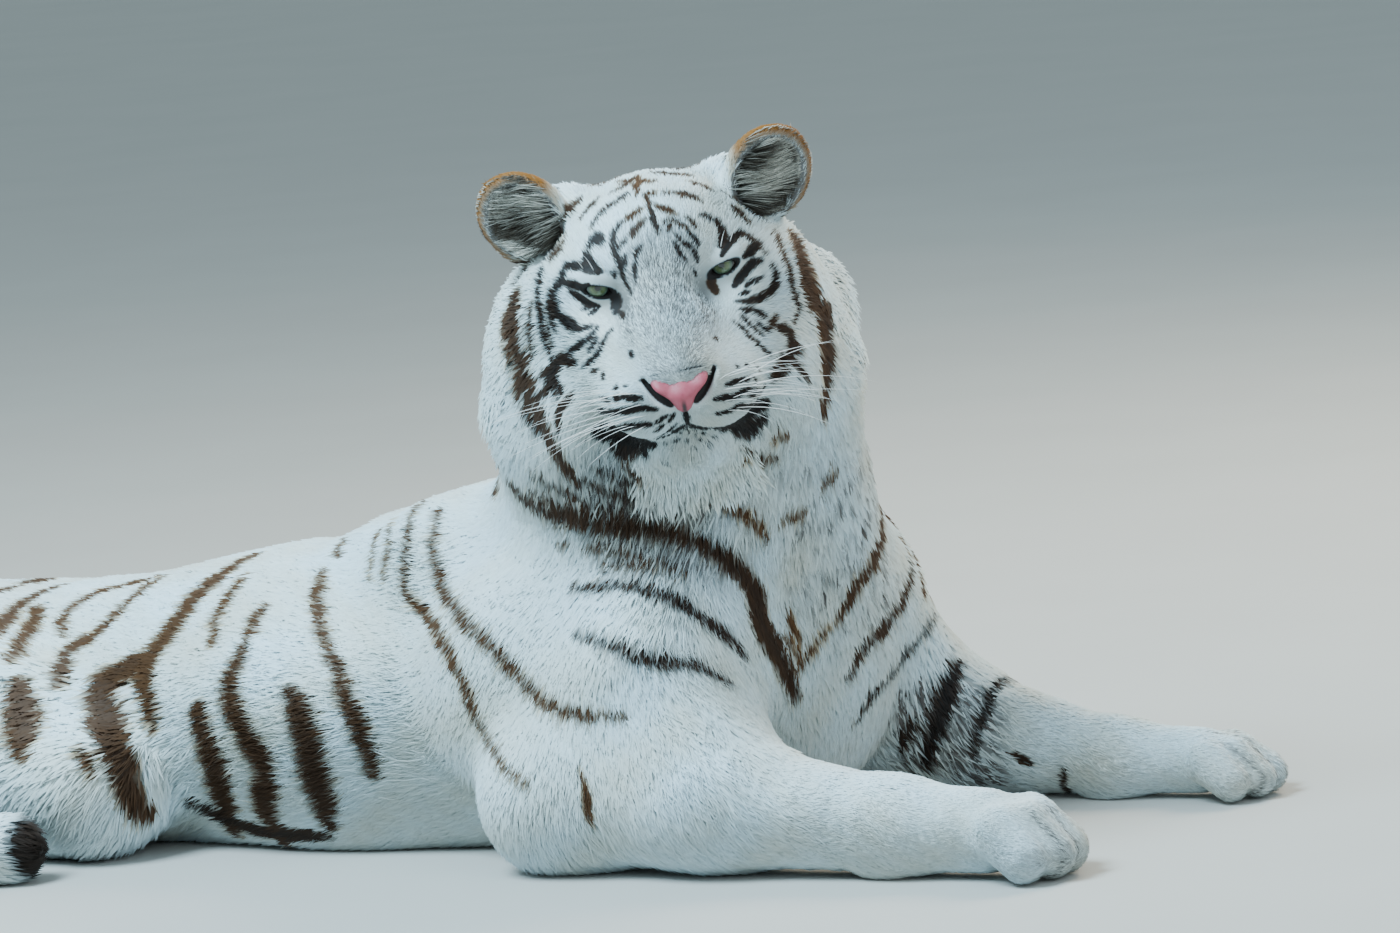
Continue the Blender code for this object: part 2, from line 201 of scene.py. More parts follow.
def trunk(clay):
    """The chest, belly, loins and rump, the shoulder blades and the spine."""
    clay.coat = 0.011
    clay.blob((-0.10, 0.005, 0.150), (0.22, 0.195, 0.175), soft=0.04)
    clay.blob((-0.35, 0.005, 0.112), (0.29, 0.205, 0.169), (0, 5, 0), soft=0.06)
    clay.blob((-0.62, -0.01, 0.105), (0.28, 0.190, 0.142), soft=0.06)
    clay.blob((-0.87, -0.04, 0.100), (0.20, 0.155, 0.132), (0, -6, 0), soft=0.06)
    clay.blob((0.06, 0.035, 0.150), (0.13, 0.165, 0.145), soft=0.05)
    for side in (RIGHT, LEFT):
        clay.blob((-0.13, side * 0.070, 0.255), (0.14, 0.06, 0.070), (0, 14, 0), soft=0.05)
    clay.rope([(0.0, 0.0, 0.26), (-0.28, 0.0, 0.225)], [0.11, 0.085], soft=0.06)


def foreleg(clay, side, elbow, middle, wrist, toes, slim):
    """The shoulder and upper arm, then the forearm and the paw."""
    clay.coat = 0.008
    clay.rope([(0.075, side * 0.135, 0.20), elbow], [0.095, 0.070], soft=0.04)
    clay.rope([(0.085, side * 0.152, 0.175), (0.15, side * 0.195, 0.082)], [0.090, 0.066], soft=0.03)
    clay.blob((-0.04, side * 0.150, 0.165), (0.13, 0.075, 0.13), (0, 25, 0), soft=0.04)
    clay.coat = 0.004
    clay.rope(*bend([elbow, middle, wrist], [0.068, 0.061, 0.043 * slim]), soft=0.05)
    forepaw(clay, Vector(wrist), Vector(toes), slim)


def forepaw(clay, wrist, toes, slim):
    """The pad of the paw and four toes, with the knuckles above them."""
    clay.coat = 0.0025
    ahead = (toes - wrist).normalized()
    across = Vector((0, 0, 1)).cross(ahead)
    heel = wrist.lerp(toes, 0.48)
    heel.z = 0.042 * slim
    clay.rope([wrist, heel], [0.042 * slim, 0.040 * slim], soft=0.03)
    clay.blob(wrist - Vector((0.01, 0, 0.024 * slim)), (0.03, 0.026, 0.024), soft=0.02)
    for place in (-1.5, -0.5, 0.5, 1.5):
        back = 0.0 if abs(place) < 1 else 0.016
        knuckle = toes + across * place * 0.019 - ahead * (back + 0.050)
        tip = toes + across * place * 0.026 - ahead * (back + 0.024)
        knuckle.z, tip.z = 0.045 * slim, 0.025 * slim
        clay.rope([heel, knuckle, tip], [0.032 * slim, 0.028 * slim, 0.024 * slim], soft=0.006)


def hindleg(clay, side, hip, knee, hock, toes):
    """The thigh, the shank and the long foot, folded beside the rump."""
    hip, knee, hock, toes = Vector(hip), Vector(knee), Vector(hock), Vector(toes)
    clay.coat = 0.009
    clay.rope([hip, hip.lerp(knee, 0.6), knee], [0.105, 0.095, 0.062], soft=0.06)
    clay.blob(hip.lerp(knee, 0.35), (0.19, 0.075, 0.105), (0, 12, side * 12), soft=0.05)
    clay.coat = 0.004
    clay.rope(*bend([knee, knee.lerp(hock, 0.6), hock], [0.060, 0.046, 0.034]), soft=0.03)
    ahead = (toes - hock).normalized()
    across = Vector((0, 0, 1)).cross(ahead)
    ball = hock.lerp(toes, 0.62)
    clay.rope([hock, ball], [0.036, 0.038], soft=0.02)
    for place in (-1.5, -0.5, 0.5, 1.5):
        back = 0.0 if abs(place) < 1 else 0.014
        tip = toes + across * place * 0.023 - ahead * (back + 0.022)
        clay.rope([ball, tip], [0.033, 0.023], soft=0.008)


TAIL = [(-0.96, -0.05, 0.11), (-1.07, -0.09, 0.075), (-1.16, -0.20, 0.046), (-1.14, -0.32, 0.038),
        (-1.01, -0.395, 0.0355), (-0.85, -0.41, 0.0345), (-0.69, -0.38, 0.0345), (-0.566, -0.333, 0.0335)]
TAIL_SPOTS, TAIL_RADII = bend(TAIL, [0.055, 0.048, 0.043, 0.040, 0.038, 0.037, 0.037, 0.036])


def tail(clay):
    """From the rump round to the right and forwards, outside the right hind foot."""
    clay.coat = 0.006
    clay.rope(TAIL_SPOTS[:13], TAIL_RADII[:13], soft=0.03)
    # a wide fillet would swell the tail where this stretch meets the one before it
    clay.rope(TAIL_SPOTS[12:], TAIL_RADII[12:], soft=0.004)


NEAR_FORELEG = [(-0.01, -0.195, 0.072), (0.15, -0.195, 0.066), (0.34, -0.185, 0.045), (0.525, -0.175, 0)]
FAR_FORELEG = [(0.02, 0.20, 0.074), (0.18, 0.205, 0.060), (0.355, 0.205, 0.036), (0.525, 0.215, 0)]
NEAR_HINDLEG = [(-0.86, -0.11, 0.115), (-0.550, -0.208, 0.068), (-0.92, -0.20, 0.042), (-0.66, -0.24, 0.024)]
FAR_HINDLEG = [(-0.86, 0.04, 0.115), (-0.475, 0.205, 0.068), (-0.90, 0.20, 0.042), (-0.60, 0.265, 0.024)]
tail_length = np.linalg.norm(np.diff(TAIL_SPOTS, axis=0), axis=1).sum()
print("the tail is", round(tail_length, 2), "m long")

# %% [markdown]
# A tiger's head is wide and round from the front, with a long, broad bridge to the nose. The ruff makes it
# a third wider than the skull. The skin lies 18 mm under the tips of the ruff and 3 mm under those of the
# face. What the solids leave out is carved here: the lids, the line of the lips and the groove under the
# nose.

# %% Neck and head


def neck(clay):
    """The neck rises from between the shoulders to the skull."""
    clay.coat = 0.016
    clay.rope([(0.03, 0.01, 0.24), (0.070, -0.070, 0.43)], [0.179, 0.168], soft=0.06)
    clay.rope([(-0.03, 0.0, 0.24), (0.035, -0.060, 0.505)], [0.13, 0.090], soft=0.06)


def head(clay):
    """The skull's masses, the muzzle and the ruff, in the head's own frame."""
    clay.in_head(True)
    clay.coat = 0.003
    clay.blob((-0.088, 0, -0.010), (0.100, 0.100, 0.080), soft=0.04)
    clay.blob((-0.042, 0, 0.010), (0.050, 0.076, 0.046), (0, 20, 0), soft=0.03)
    for side in (RIGHT, LEFT):
        ruff = 0.106 if side == RIGHT else 0.087
        clay.coat = 0.0025
        bridge = [(-0.015, side * 0.015, -0.016), (0.096, side * 0.014, -0.066)]
        clay.rope(bridge, [0.029, 0.025], soft=0.03)
        clay.coat = 0.004
        clay.blob((-0.072, side * 0.076, -0.045), (0.080, 0.056, 0.066), soft=0.04)
        clay.blob((0.004, side * 0.044, -0.058), (0.055, 0.038, 0.036), (0, 20, 0), soft=0.035)
        clay.coat = 0.007
        clay.blob((-0.010, side * 0.072, -0.108), (0.060, 0.044, 0.050), soft=0.045)
        clay.coat = 0.018
        clay.blob((-0.100, side * ruff, -0.092), (0.078, 0.062, 0.084), soft=0.04)
        clay.blob((-0.095, side * ruff, -0.155), (0.075, 0.070, 0.060), (side * 20, 0, 0), soft=0.05)
        clay.coat = 0.0025
        clay.blob((0.070, side * 0.034, -0.087), (0.048, 0.038, 0.031), (0, 14, -side * 14), soft=0.030)
        clay.coat = 0.008
        clay.rope([(0.050, side * 0.014, -0.128), (-0.09, side * 0.070, -0.10)], [0.037, 0.06], soft=0.03)
        clay.coat = 0.004
        clay.blob((-0.120, side * 0.082, 0.034), (0.028, 0.034, 0.030), (-side * EAR_LEAN, 0, 0), soft=0.03)
    clay.coat = 0.018
    clay.blob((-0.150, 0.101, -0.096), (0.050, 0.068, 0.066), soft=0.03)
    clay.coat = 0.012
    clay.blob((0.064, 0, -0.134), (0.044, 0.043, 0.033), soft=0.012)
    clay.coat = 0.016
    clay.blob((-0.03, 0, -0.150), (0.09, 0.09, 0.055), soft=0.04)
    for side in (RIGHT, LEFT):
        lids(clay, side)
        ear(clay, side)
    mouth(clay)
    clay.in_head(False)


def lids(clay, side):
    """A shallow socket, two lids that wrap the eyeball, and the almond slit between them."""
    middle = side * EYES_APART / 2
    lean = side * 15
    clay.coat = 0
    turn = (lean, 0, side * 18)
    clay.blob((0.028, middle + side * 0.003, -0.003), (0.034, 0.030, 0.022), turn, soft=0.016, sign=-1)
    clay.blob((-EYE, middle, 0), (EYE + 0.0026, EYE + 0.0026, EYE + 0.0022), soft=0.006)
    inner, outer = middle - side * 0.012, middle + side * 0.014
    brow = [(-0.004, inner, 0.0060), (-0.004, middle, 0.0090), (-0.010, outer, 0.0095)]
    clay.rope(brow, [0.0028, 0.0032, 0.0028], soft=0.010)
    slit = (0.004, middle - side * 0.001, -0.0016)
    clay.blob(slit, (0.018, 0.0132, 0.0056), (lean, 0, 0), soft=0.0015, sign=-1)
    tear = [(0.002, middle - side * 0.0115, -0.0035), (0.004, middle - side * 0.0165, -0.0065)]
    clay.rope(tear, [0.0022, 0.0012], soft=0.0015, sign=-1)


def ear(clay, side):
    """A rounded cup, open forwards and a little outwards, leaning out from the head."""
    clay.coat = 0.0015
    turn = (-side * EAR_LEAN, 0, side * EAR_YAW)
    clay.blob(ear_place(side)[0], (0.023, 0.041, 0.048), turn, soft=0.01)
    clay.coat = -0.0005
    clay.blob((-0.068, side * 0.116, 0.052), (0.026, 0.035, 0.042), turn, soft=0.006, sign=-1)


LIPS = [(0.119, 0, -0.104), (0.112, 0.013, -0.114), (0.098, 0.030, -0.121), (0.083, 0.046, -0.122),
        (0.068, 0.060, -0.119), (0.055, 0.070, -0.114)]


def mouth(clay):
    """The groove under the nose and the line of the closed lips."""
    clay.coat = 0
    clay.rope([(0.137, 0, -0.080), (0.126, 0, -0.104)], [0.0024, 0.0024], soft=0.004, sign=-1)
    for side in (RIGHT, LEFT):
        line = [(x + 0.004, side * y, z) for x, y, z in LIPS]
        clay.rope(line, [0.0030, 0.0028, 0.0024, 0.0020, 0.0016, 0.0010], soft=0.005, sign=-1)
        slit = [(0.126, side * 0.011, -0.079), (0.121, side * 0.020, -0.071), (0.108, side * 0.031, -0.058)]
        clay.rope(slit, [0.0058, 0.0060, 0.0026], soft=0.003, sign=-1)


def whole_body(points, bare=True):
    """How far each point is from the skin, or from the tips of the hair."""
    clay = Clay(points, bare)
    trunk(clay)
    foreleg(clay, RIGHT, *NEAR_FORELEG, 1.0)
    foreleg(clay, LEFT, *FAR_FORELEG, 0.82)
    hindleg(clay, RIGHT, *NEAR_HINDLEG)
    hindleg(clay, LEFT, *FAR_HINDLEG)
    neck(clay)
    head(clay)
    tail(clay)
    return np.maximum(clay.distance, -points[:, 2])


print("the head stands", round(float(HEAD_AT[2]), 2), "m above the ground")

# %% [markdown]
# The clay is measured first on a coarse grid, and then finely, every 4.5 mm, only near the surface, which
# saves most of the work. OpenVDB makes a net of four-sided faces of it.

# %% From clay to a net
LOW = np.array([-1.28, -0.56, -0.0255])
HIGH = np.array([0.62, 0.44, 0.66])
FINE = 0.0045


def lattice(low, cell, count):
    """The points of a grid."""
    axes = [low[i] + cell * np.arange(count[i]) for i in range(3)]
    return np.stack(np.meshgrid(*axes, indexing="ij"), axis=-1)


def net_of(shape, low, high, fine):
    """The surface of a shape, a function of points, as corners and four-sided faces."""
    coarse = 4 * fine
    count = np.ceil((high - low) / coarse).astype(int) + 1
    rough = shape(lattice(low, coarse, count).reshape(-1, 3)).reshape(count)
    fine_count = (count - 1) * 4 + 1
    nearest = [(np.arange(n) + 2) // 4 for n in fine_count]
    grid = rough[np.ix_(*nearest)]
    band = np.argwhere(np.abs(grid) < 1.6 * coarse)
    grid[tuple(band.T)] = shape(low + fine * band)
    volume = openvdb.FloatGrid(0.2)
    volume.copyFromArray(np.clip(grid, -0.2, 0.2).astype(np.float32))
    corners, faces = volume.convertToQuads(0.0)
    return corners * fine + low, faces


def outward(thing):
    """Turns all faces so that they point outwards."""
    work = bmesh.new()
    work.from_mesh(thing.data)
    bmesh.ops.recalc_face_normals(work, faces=work.faces)
    work.to_mesh(thing.data)
    work.free()


def linked(name, corners, faces):
    """A new object of corners and faces, in the scene and ready for operators."""
    mesh = bpy.data.meshes.new(name)
    mesh.from_pydata(corners, [], faces)
    thing = bpy.data.objects.new(name, mesh)
    bpy.context.scene.collection.objects.link(thing)
    outward(thing)
    bpy.ops.object.select_all(action="DESELECT")
    bpy.context.view_layer.objects.active = thing
    thing.select_set(True)
    return thing


skin = linked("skin", *net_of(whole_body, LOW, HIGH, FINE))
print("the first net has", len(skin.data.polygons), "faces")

# %% [markdown]
# A net that is equally fine all over spends most of its faces where the coat hides them. Decimate takes
# them away on the body only, by a vertex group. The muzzle is then cut finer once, and the eyes and the nose
# twice. After each round the corners are drawn onto the true surface, along the slope of the distance, or
# the new ones would lie on flat faces.

# %% Thin the body, refine the muzzle and eyes


def corners_of(mesh):
    """The places of a mesh's corners, as rows of an array."""
    flat = np.empty(len(mesh.vertices) * 3)
    mesh.vertices.foreach_get("co", flat)
    return flat.reshape(-1, 3)


def detail(spots):
    """How fine the net is: 0 on the body, 1 on face, ears and forepaws, 2 on muzzle, 3 at eyes and nose."""
    x, y, z = to_head(spots).T
    level = np.zeros(len(spots))
    level[(x > -0.06) & (np.abs(y) < 0.13) & (z > -0.17)] = 1
    level[(x > -0.13) & (z > 0.0) & (np.abs(y) > 0.075)] = 1
    level[(spots[:, 0] > 0.38) & (spots[:, 2] < 0.12)] = 1
    eye = np.hypot(np.abs(y) - EYES_APART / 2, z + 0.002) < 0.028
    level[(eye & (x > -0.035)) | ((x > 0.055) & (np.abs(y) < 0.075) & (z < -0.045))] = 2
    eye = np.hypot(np.abs(y) - EYES_APART / 2, z + 0.001) < 0.020
    level[(eye & (x > -0.02)) | ((x > 0.095) & (np.abs(y) < 0.035) & (z > -0.12))] = 3
    return level


def thin(thing, ratio):
    """Fewer faces where the net may be coarse."""
    body = thing.vertex_groups.new(name="body")
    rough = np.flatnonzero(detail(corners_of(thing.data)) == 0)
    body.add([int(i) for i in rough], 1.0, "REPLACE")
    decimate = thing.modifiers.new("thin", "DECIMATE")
    decimate.vertex_group = "body"
    decimate.ratio = ratio
    bpy.ops.object.modifier_apply(modifier="thin")
    thing.vertex_groups.clear()


def refine(thing, level):
    """Cuts in four each face of at least a level of detail."""
    work = bmesh.new()
    work.from_mesh(thing.data)
    middles = np.array([face.calc_center_median() for face in work.faces])
    chosen = np.flatnonzero(detail(middles) >= level)
    work.faces.ensure_lookup_table()
    edges = {edge for i in chosen for edge in work.faces[i].edges}
    bmesh.ops.subdivide_edges(work, edges=list(edges), cuts=1, use_grid_fill=True)
    work.to_mesh(thing.data)
    work.free()


def settle(thing, shape, rounds=2, step=0.0006):
    """Draws the corners onto the shape's surface."""
    spots = corners_of(thing.data)
    for _ in range(rounds):
        here = shape(spots)
        slope = np.stack([shape(spots + step * axis) - here for axis in np.eye(3)], axis=1) / step
        steep = np.maximum((slope**2).sum(axis=1), 0.25)
        move = -slope * (here / steep)[:, None]
        length = np.linalg.norm(move, axis=1, keepdims=True)
        spots += move * np.minimum(1, 0.003 / np.maximum(length, 1e-9))
        spots[:, 2] = np.maximum(spots[:, 2], 0)
    thing.data.vertices.foreach_set("co", spots.ravel())
    thing.data.update()


thin(skin, 0.36)
refine(skin, 2)
settle(skin, whole_body)
refine(skin, 3)
settle(skin, whole_body)
print("the skin has", sum(len(face.vertices) - 2 for face in skin.data.polygons), "triangles")

# %% [markdown]
# An unwrap gives each place on the skin a place of its own on a flat sheet, as a furrier's pattern does. The
# tufts later borrow the places of their roots, so that the coat and the skin share one pattern.

# %% Unwrap
for face in skin.data.polygons:
    face.use_smooth = True
bpy.ops.object.mode_set(mode="EDIT")
bpy.ops.mesh.select_all(action="SELECT")
bpy.ops.mesh.quads_convert_to_tris()
bpy.ops.uv.smart_project(angle_limit=math.radians(66), island_margin=0.001)
bpy.ops.object.mode_set(mode="OBJECT")
skin.data.uv_layers[0].name = "OFBake"
spots = corners_of(skin.data)
normals = np.empty(len(spots) * 3)
skin.data.vertices.foreach_get("normal", normals)
normals = normals.reshape(-1, 3)
triangles = np.empty(len(skin.data.polygons) * 3, dtype=np.int32)
skin.data.polygons.foreach_get("vertices", triangles)
triangles = triangles.reshape(-1, 3)
places = np.empty(len(skin.data.loops) * 2, dtype=np.float32)
skin.data.uv_layers["OFBake"].uv.foreach_get("vector", places)
places = places.reshape(-1, 3, 2)
print("the skin has", len(triangles), "triangles and", len(spots), "corners")

# %% [markdown]
# The stripes of each tiger are its own. They are drawn as a painter would, as brush strokes on the skin. A
# stroke is given by a few places, and each part of the body has its own way to name a place: round the
# trunk, round the chest, round the far foreleg, round the face. A ray from outside finds where each place
# is.

# %% Stripes
from mathutils.bvhtree import BVHTree
from mathutils.kdtree import KDTree

tree = BVHTree.FromPolygons(spots.tolist(), triangles.tolist())
# Each way to name a place gives a middle, the direction out of it, and how far out the ray starts.


def round_trunk(x, angle):
    """Centimetres forward of the origin, and degrees up from the right side, over the back."""
    angle = math.radians(angle)
    return np.array([x / 100, 0, 0.11]), np.array([0, -math.cos(angle), math.sin(angle)]), 0.5


def round_chest(angle, height):
    """Degrees to the left of straight ahead, and centimetres up."""
    angle = math.radians(angle)
    return np.array([-0.02, 0, height / 100]), np.array([math.cos(angle), math.sin(angle), 0]), 0.5


def round_far_foreleg(x, angle):
    """Centimetres forward of the origin, and degrees up from the leg's right side, over its top."""
    angle = math.radians(angle)
    return np.array([x / 100, 0.20, 0.06]), np.array([0, -math.cos(angle), math.sin(angle)]), 0.13


def round_face(left, angle):
    """Millimetres to the left of the nose, and degrees up from straight ahead."""
    angle = math.radians(angle)
    ahead = HEAD_TURN @ np.array([math.cos(angle), 0, math.sin(angle)])
    return from_head([-0.10, left / 1000, -0.05]), ahead, 0.3


def in_head_frame(ahead, left, up):
    """Millimetres ahead of the middle between the eyes, to the left of it and up."""
    middle = from_head([0, 0, -0.08])
    out = from_head(np.array([ahead, left, up]) / 1000) - middle
    reach = np.linalg.norm(out)
    return middle, out / reach, reach + 0.035


dabs = []


def stroke(way, width, warm, places, blunt=0.45):
    """One stroke: its width in millimetres, how brown it is from 0 to 1, and the places it goes through.

    It is kept as round dabs of paint, one over another, that get smaller towards its ends: blunt is the size
    of the last one, where the middle one is 1.
    """
    flat = [(*place, 0.0)[:3] for place in places]
    line, _ = bend(flat, [0.0] * len(flat), steps=10)
    found = []
    for place in line:
        middle, out, reach = way(*place[:3 if way is in_head_frame else 2])
        hit = tree.ray_cast(Vector(middle + out * reach), Vector(-out), reach)[0]
        if hit is not None:
            found.append(np.array(hit))
    if len(found) < 2:
        return
    steps = np.linalg.norm(np.diff(found, axis=0), axis=1)
    along = np.concatenate([[0], np.cumsum(steps)])
    count = max(int(along[-1] / max(width / 4000, 0.0008)), 3)
    for t in np.linspace(0, 1, count):
        at = [np.interp(t * along[-1], along, [spot[axis] for spot in found]) for axis in range(3)]
        swell = blunt + (1 - blunt) * math.sin(math.pi * min(max(t, 0.02), 0.98)) ** 0.5
        dabs.append((*at, width / 2000 * swell, warm))


# Each stroke below is its width, how brown it is, and its places.
FLANK = [
    (16, 0.8, [(-69.2, 53), (-66.6, 33), (-65.6, 22)]),
    (30, 0.7, [(-63.4, 15), (-61.1, 6), (-60.1, 0)]),
    (9, 0.8, [(-57, 74), (-57.9, 42), (-60.3, 27)]),
    (17, 0.7, [(-59.8, 33), (-60.7, 25), (-59.7, 16)]),
    (9, 0.8, [(-58, 76), (-63, 64), (-64.1, 45), (-62.6, 35)]),
    (19, 0.75, [(-46, 80), (-48.1, 54), (-49.2, 36), (-50.8, 25), (-50.3, 15), (-49, 5)]),
    (27, 0.6, [(-52.2, 25), (-55.5, 16), (-52.6, 5), (-49.6, -5), (-49, -17)]),
    (11, 0.8, [(-53.3, 1), (-51.9, -4)]),
    (9, 0.8, [(-43.3, 60), (-43.8, 44), (-43, 30)]),
    (12, 0.75, [(-38.5, 44), (-38.5, 31)]),
    (20, 0.6, [(-38.7, 28), (-39.4, 15), (-37.5, 4), (-35.5, -7), (-37.1, -20), (-37.3, -34)]),
    (25, 0.6, [(-43.3, 10), (-42.3, -1), (-41.8, -15), (-43, -31)]),
    (24, 0.5, [(-32.1, 15), (-30.6, 3), (-29.9, -10), (-30.4, -24)]),
    (9, 0.75, [(-34, 61), (-32.3, 44), (-29.3, 29)]),
    (15, 0.6, [(-29.2, 28), (-26.5, 15), (-24.7, 5), (-24.1, -9)]),
    # partly a brown stripe, partly painted shade where the belly meets the floor, on both sides
    (14, 0.3, [(-47, -20), (-40, -28), (-31.2, -29)]),
    (9, 0.6, [(-19.1, 66), (-18.4, 57), (-15.2, 43), (-7.7, 28), (-3.2, 20), (-0.5, 14), (4, 11),
              (9.6, 10)]),
    (8, 0.7, [(-22.6, 73), (-22.1, 58), (-21.1, 47), (-15, 33), (-10.1, 19), (-8.4, 8), (-4.8, 2),
              (-0.1, -4)]),
    (5, 0.8, [(-26, 72), (-25, 62), (-25.1, 54)]),
    (5, 0.7, [(5.4, -1), (6.1, -12)]),
    (5, 0.8, [(-29, 74), (-27, 56)]),
    (5, 0.8, [(-35, 81), (-33, 67)]),
    (16, 0.7, [(-71, 82), (-72, 58), (-71, 40), (-68, 8)]),
    (18, 0.65, [(-77, 85), (-79, 55), (-79, 30), (-76, 12)]),
    (16, 0.7, [(-84, 82), (-86, 55), (-87, 32), (-84, 12)]),
    (16, 0.7, [(-91, 84), (-94, 58), (-96, 30), (-95, 5)]),
    (14, 0.7, [(-98, 78), (-101, 50), (-103, 20)]),
]
NAPE = [
    (10, 0.6, [(-175, 44), (-150, 43), (-128, 41), (-112, 38)]),
    (10, 0.6, [(178, 46), (160, 44), (138, 41), (118, 38)]),
    (9, 0.6, [(-170, 37), (-148, 36), (-130, 34)]),
    (9, 0.6, [(175, 39), (152, 37), (132, 34)]),
]
CHEST = [
    (15, 0.5, [(-97, 36.5), (-89, 34.8), (-74, 33.3), (-61, 32.5), (-51, 31.7), (-44, 30.2)]),
    (17, 0.4, [(-47, 30.9), (-39, 28.4), (-34, 25.5), (-33, 21.8), (-27, 18), (-20, 14.3)]),
    (8, 0.25, [(-77, 26.6), (-65, 26.7), (-56, 25.7), (-48, 23.7), (-42, 21.2), (-39, 19.3)]),
    (8, 0.25, [(-75, 22.5), (-65, 21.3), (-57, 20.1), (-50, 19.3), (-44, 17.3)]),
    (2.5, 0.6, [(-82, 30.7), (-66, 30.2), (-55, 28.7), (-48, 26.8)]),
    (2, 0.6, [(-70, 29.1), (-59, 28.4), (-51, 26.7)]),
    (12, 0.6, [(33, 31), (13, 26.3), (0, 23.7), (-8, 21.1)]),
    (6, 0.8, [(-10, 20.6), (-16, 18.7), (-21, 16.7)]),
    (10, 0.4, [(38, 22.7), (27, 20.6), (6, 18.2), (-4, 15.5)]),
    (5, 0.2, [(44, 17.5), (31, 15.4), (10, 13.1), (3, 10.7)]),
    (6, 0.9, [(-24, 22.6), (-20, 19.5)]),
    (5, 0.9, [(-26, 20.2), (-18, 17.3)]),
    (4, 0.9, [(-40, 33.8), (-34, 32), (-30, 30.5)]),
    (5, 0.8, [(-26, 31.5), (-21, 32.3)]),
    (6, 0.7, [(-16, 34.1), (-10, 35.5)]),
    (14, 0.7, [(100, 38), (66, 34), (48, 30), (40, 24)]),
    (10, 0.6, [(82, 29), (64, 27), (50, 24), (42, 20)]),
    (10, 0.6, [(80, 23), (62, 21), (48, 19)]),
]
FAR_FORELEG_STRIPES = [
    (15, 0.1, [(20, 76), (20, 37), (19.1, 2), (18.2, -20)]),
    (7, 0.1, [(23.2, 114), (23.6, 47), (23.3, 14), (22.1, -22)]),
    (10, 0.2, [(17.6, 20), (16.1, -2)]),
    (6, 0.3, [(26.3, -17), (28.2, -33)]),
    (5, 0.3, [(31.4, -42), (29.8, -88)]),
    (5, 0.3, [(17, 60), (15.5, 38)]),
]
# The listed widths are those of the dark core. Wandering tufts eat into a stripe's edges, so it is painted
# wider than that. The left flank mirrors the right one, each stripe a little out of step.
for number, (width, warm, line) in enumerate(FLANK):
    width = 1.3 * width + 4.5
    stroke(round_trunk, width, warm, line)
    drift = 2.0 * math.sin(7 * number)
    stroke(round_trunk, width, warm, [(x + drift, 180 - angle) for x, angle in line])
for width, warm, line in CHEST:
    stroke(round_chest, 1.25 * width + 4.5, warm, line)
for width, warm, line in NAPE:
    stroke(round_chest, 1.5 * width + 3, warm, line)
for width, warm, line in FAR_FORELEG_STRIPES:
    stroke(round_far_foreleg, 1.25 * width + 3.5, warm, line)
# Three bands cross the left hind foot, which lies beside the rump.
for x in (-70, -77, -84):
    stroke(round_trunk, 13, 0.5, [(x, 200), (x - 1, 190), (x - 1.5, 184)])
print("the body has", len(dabs), "dabs")
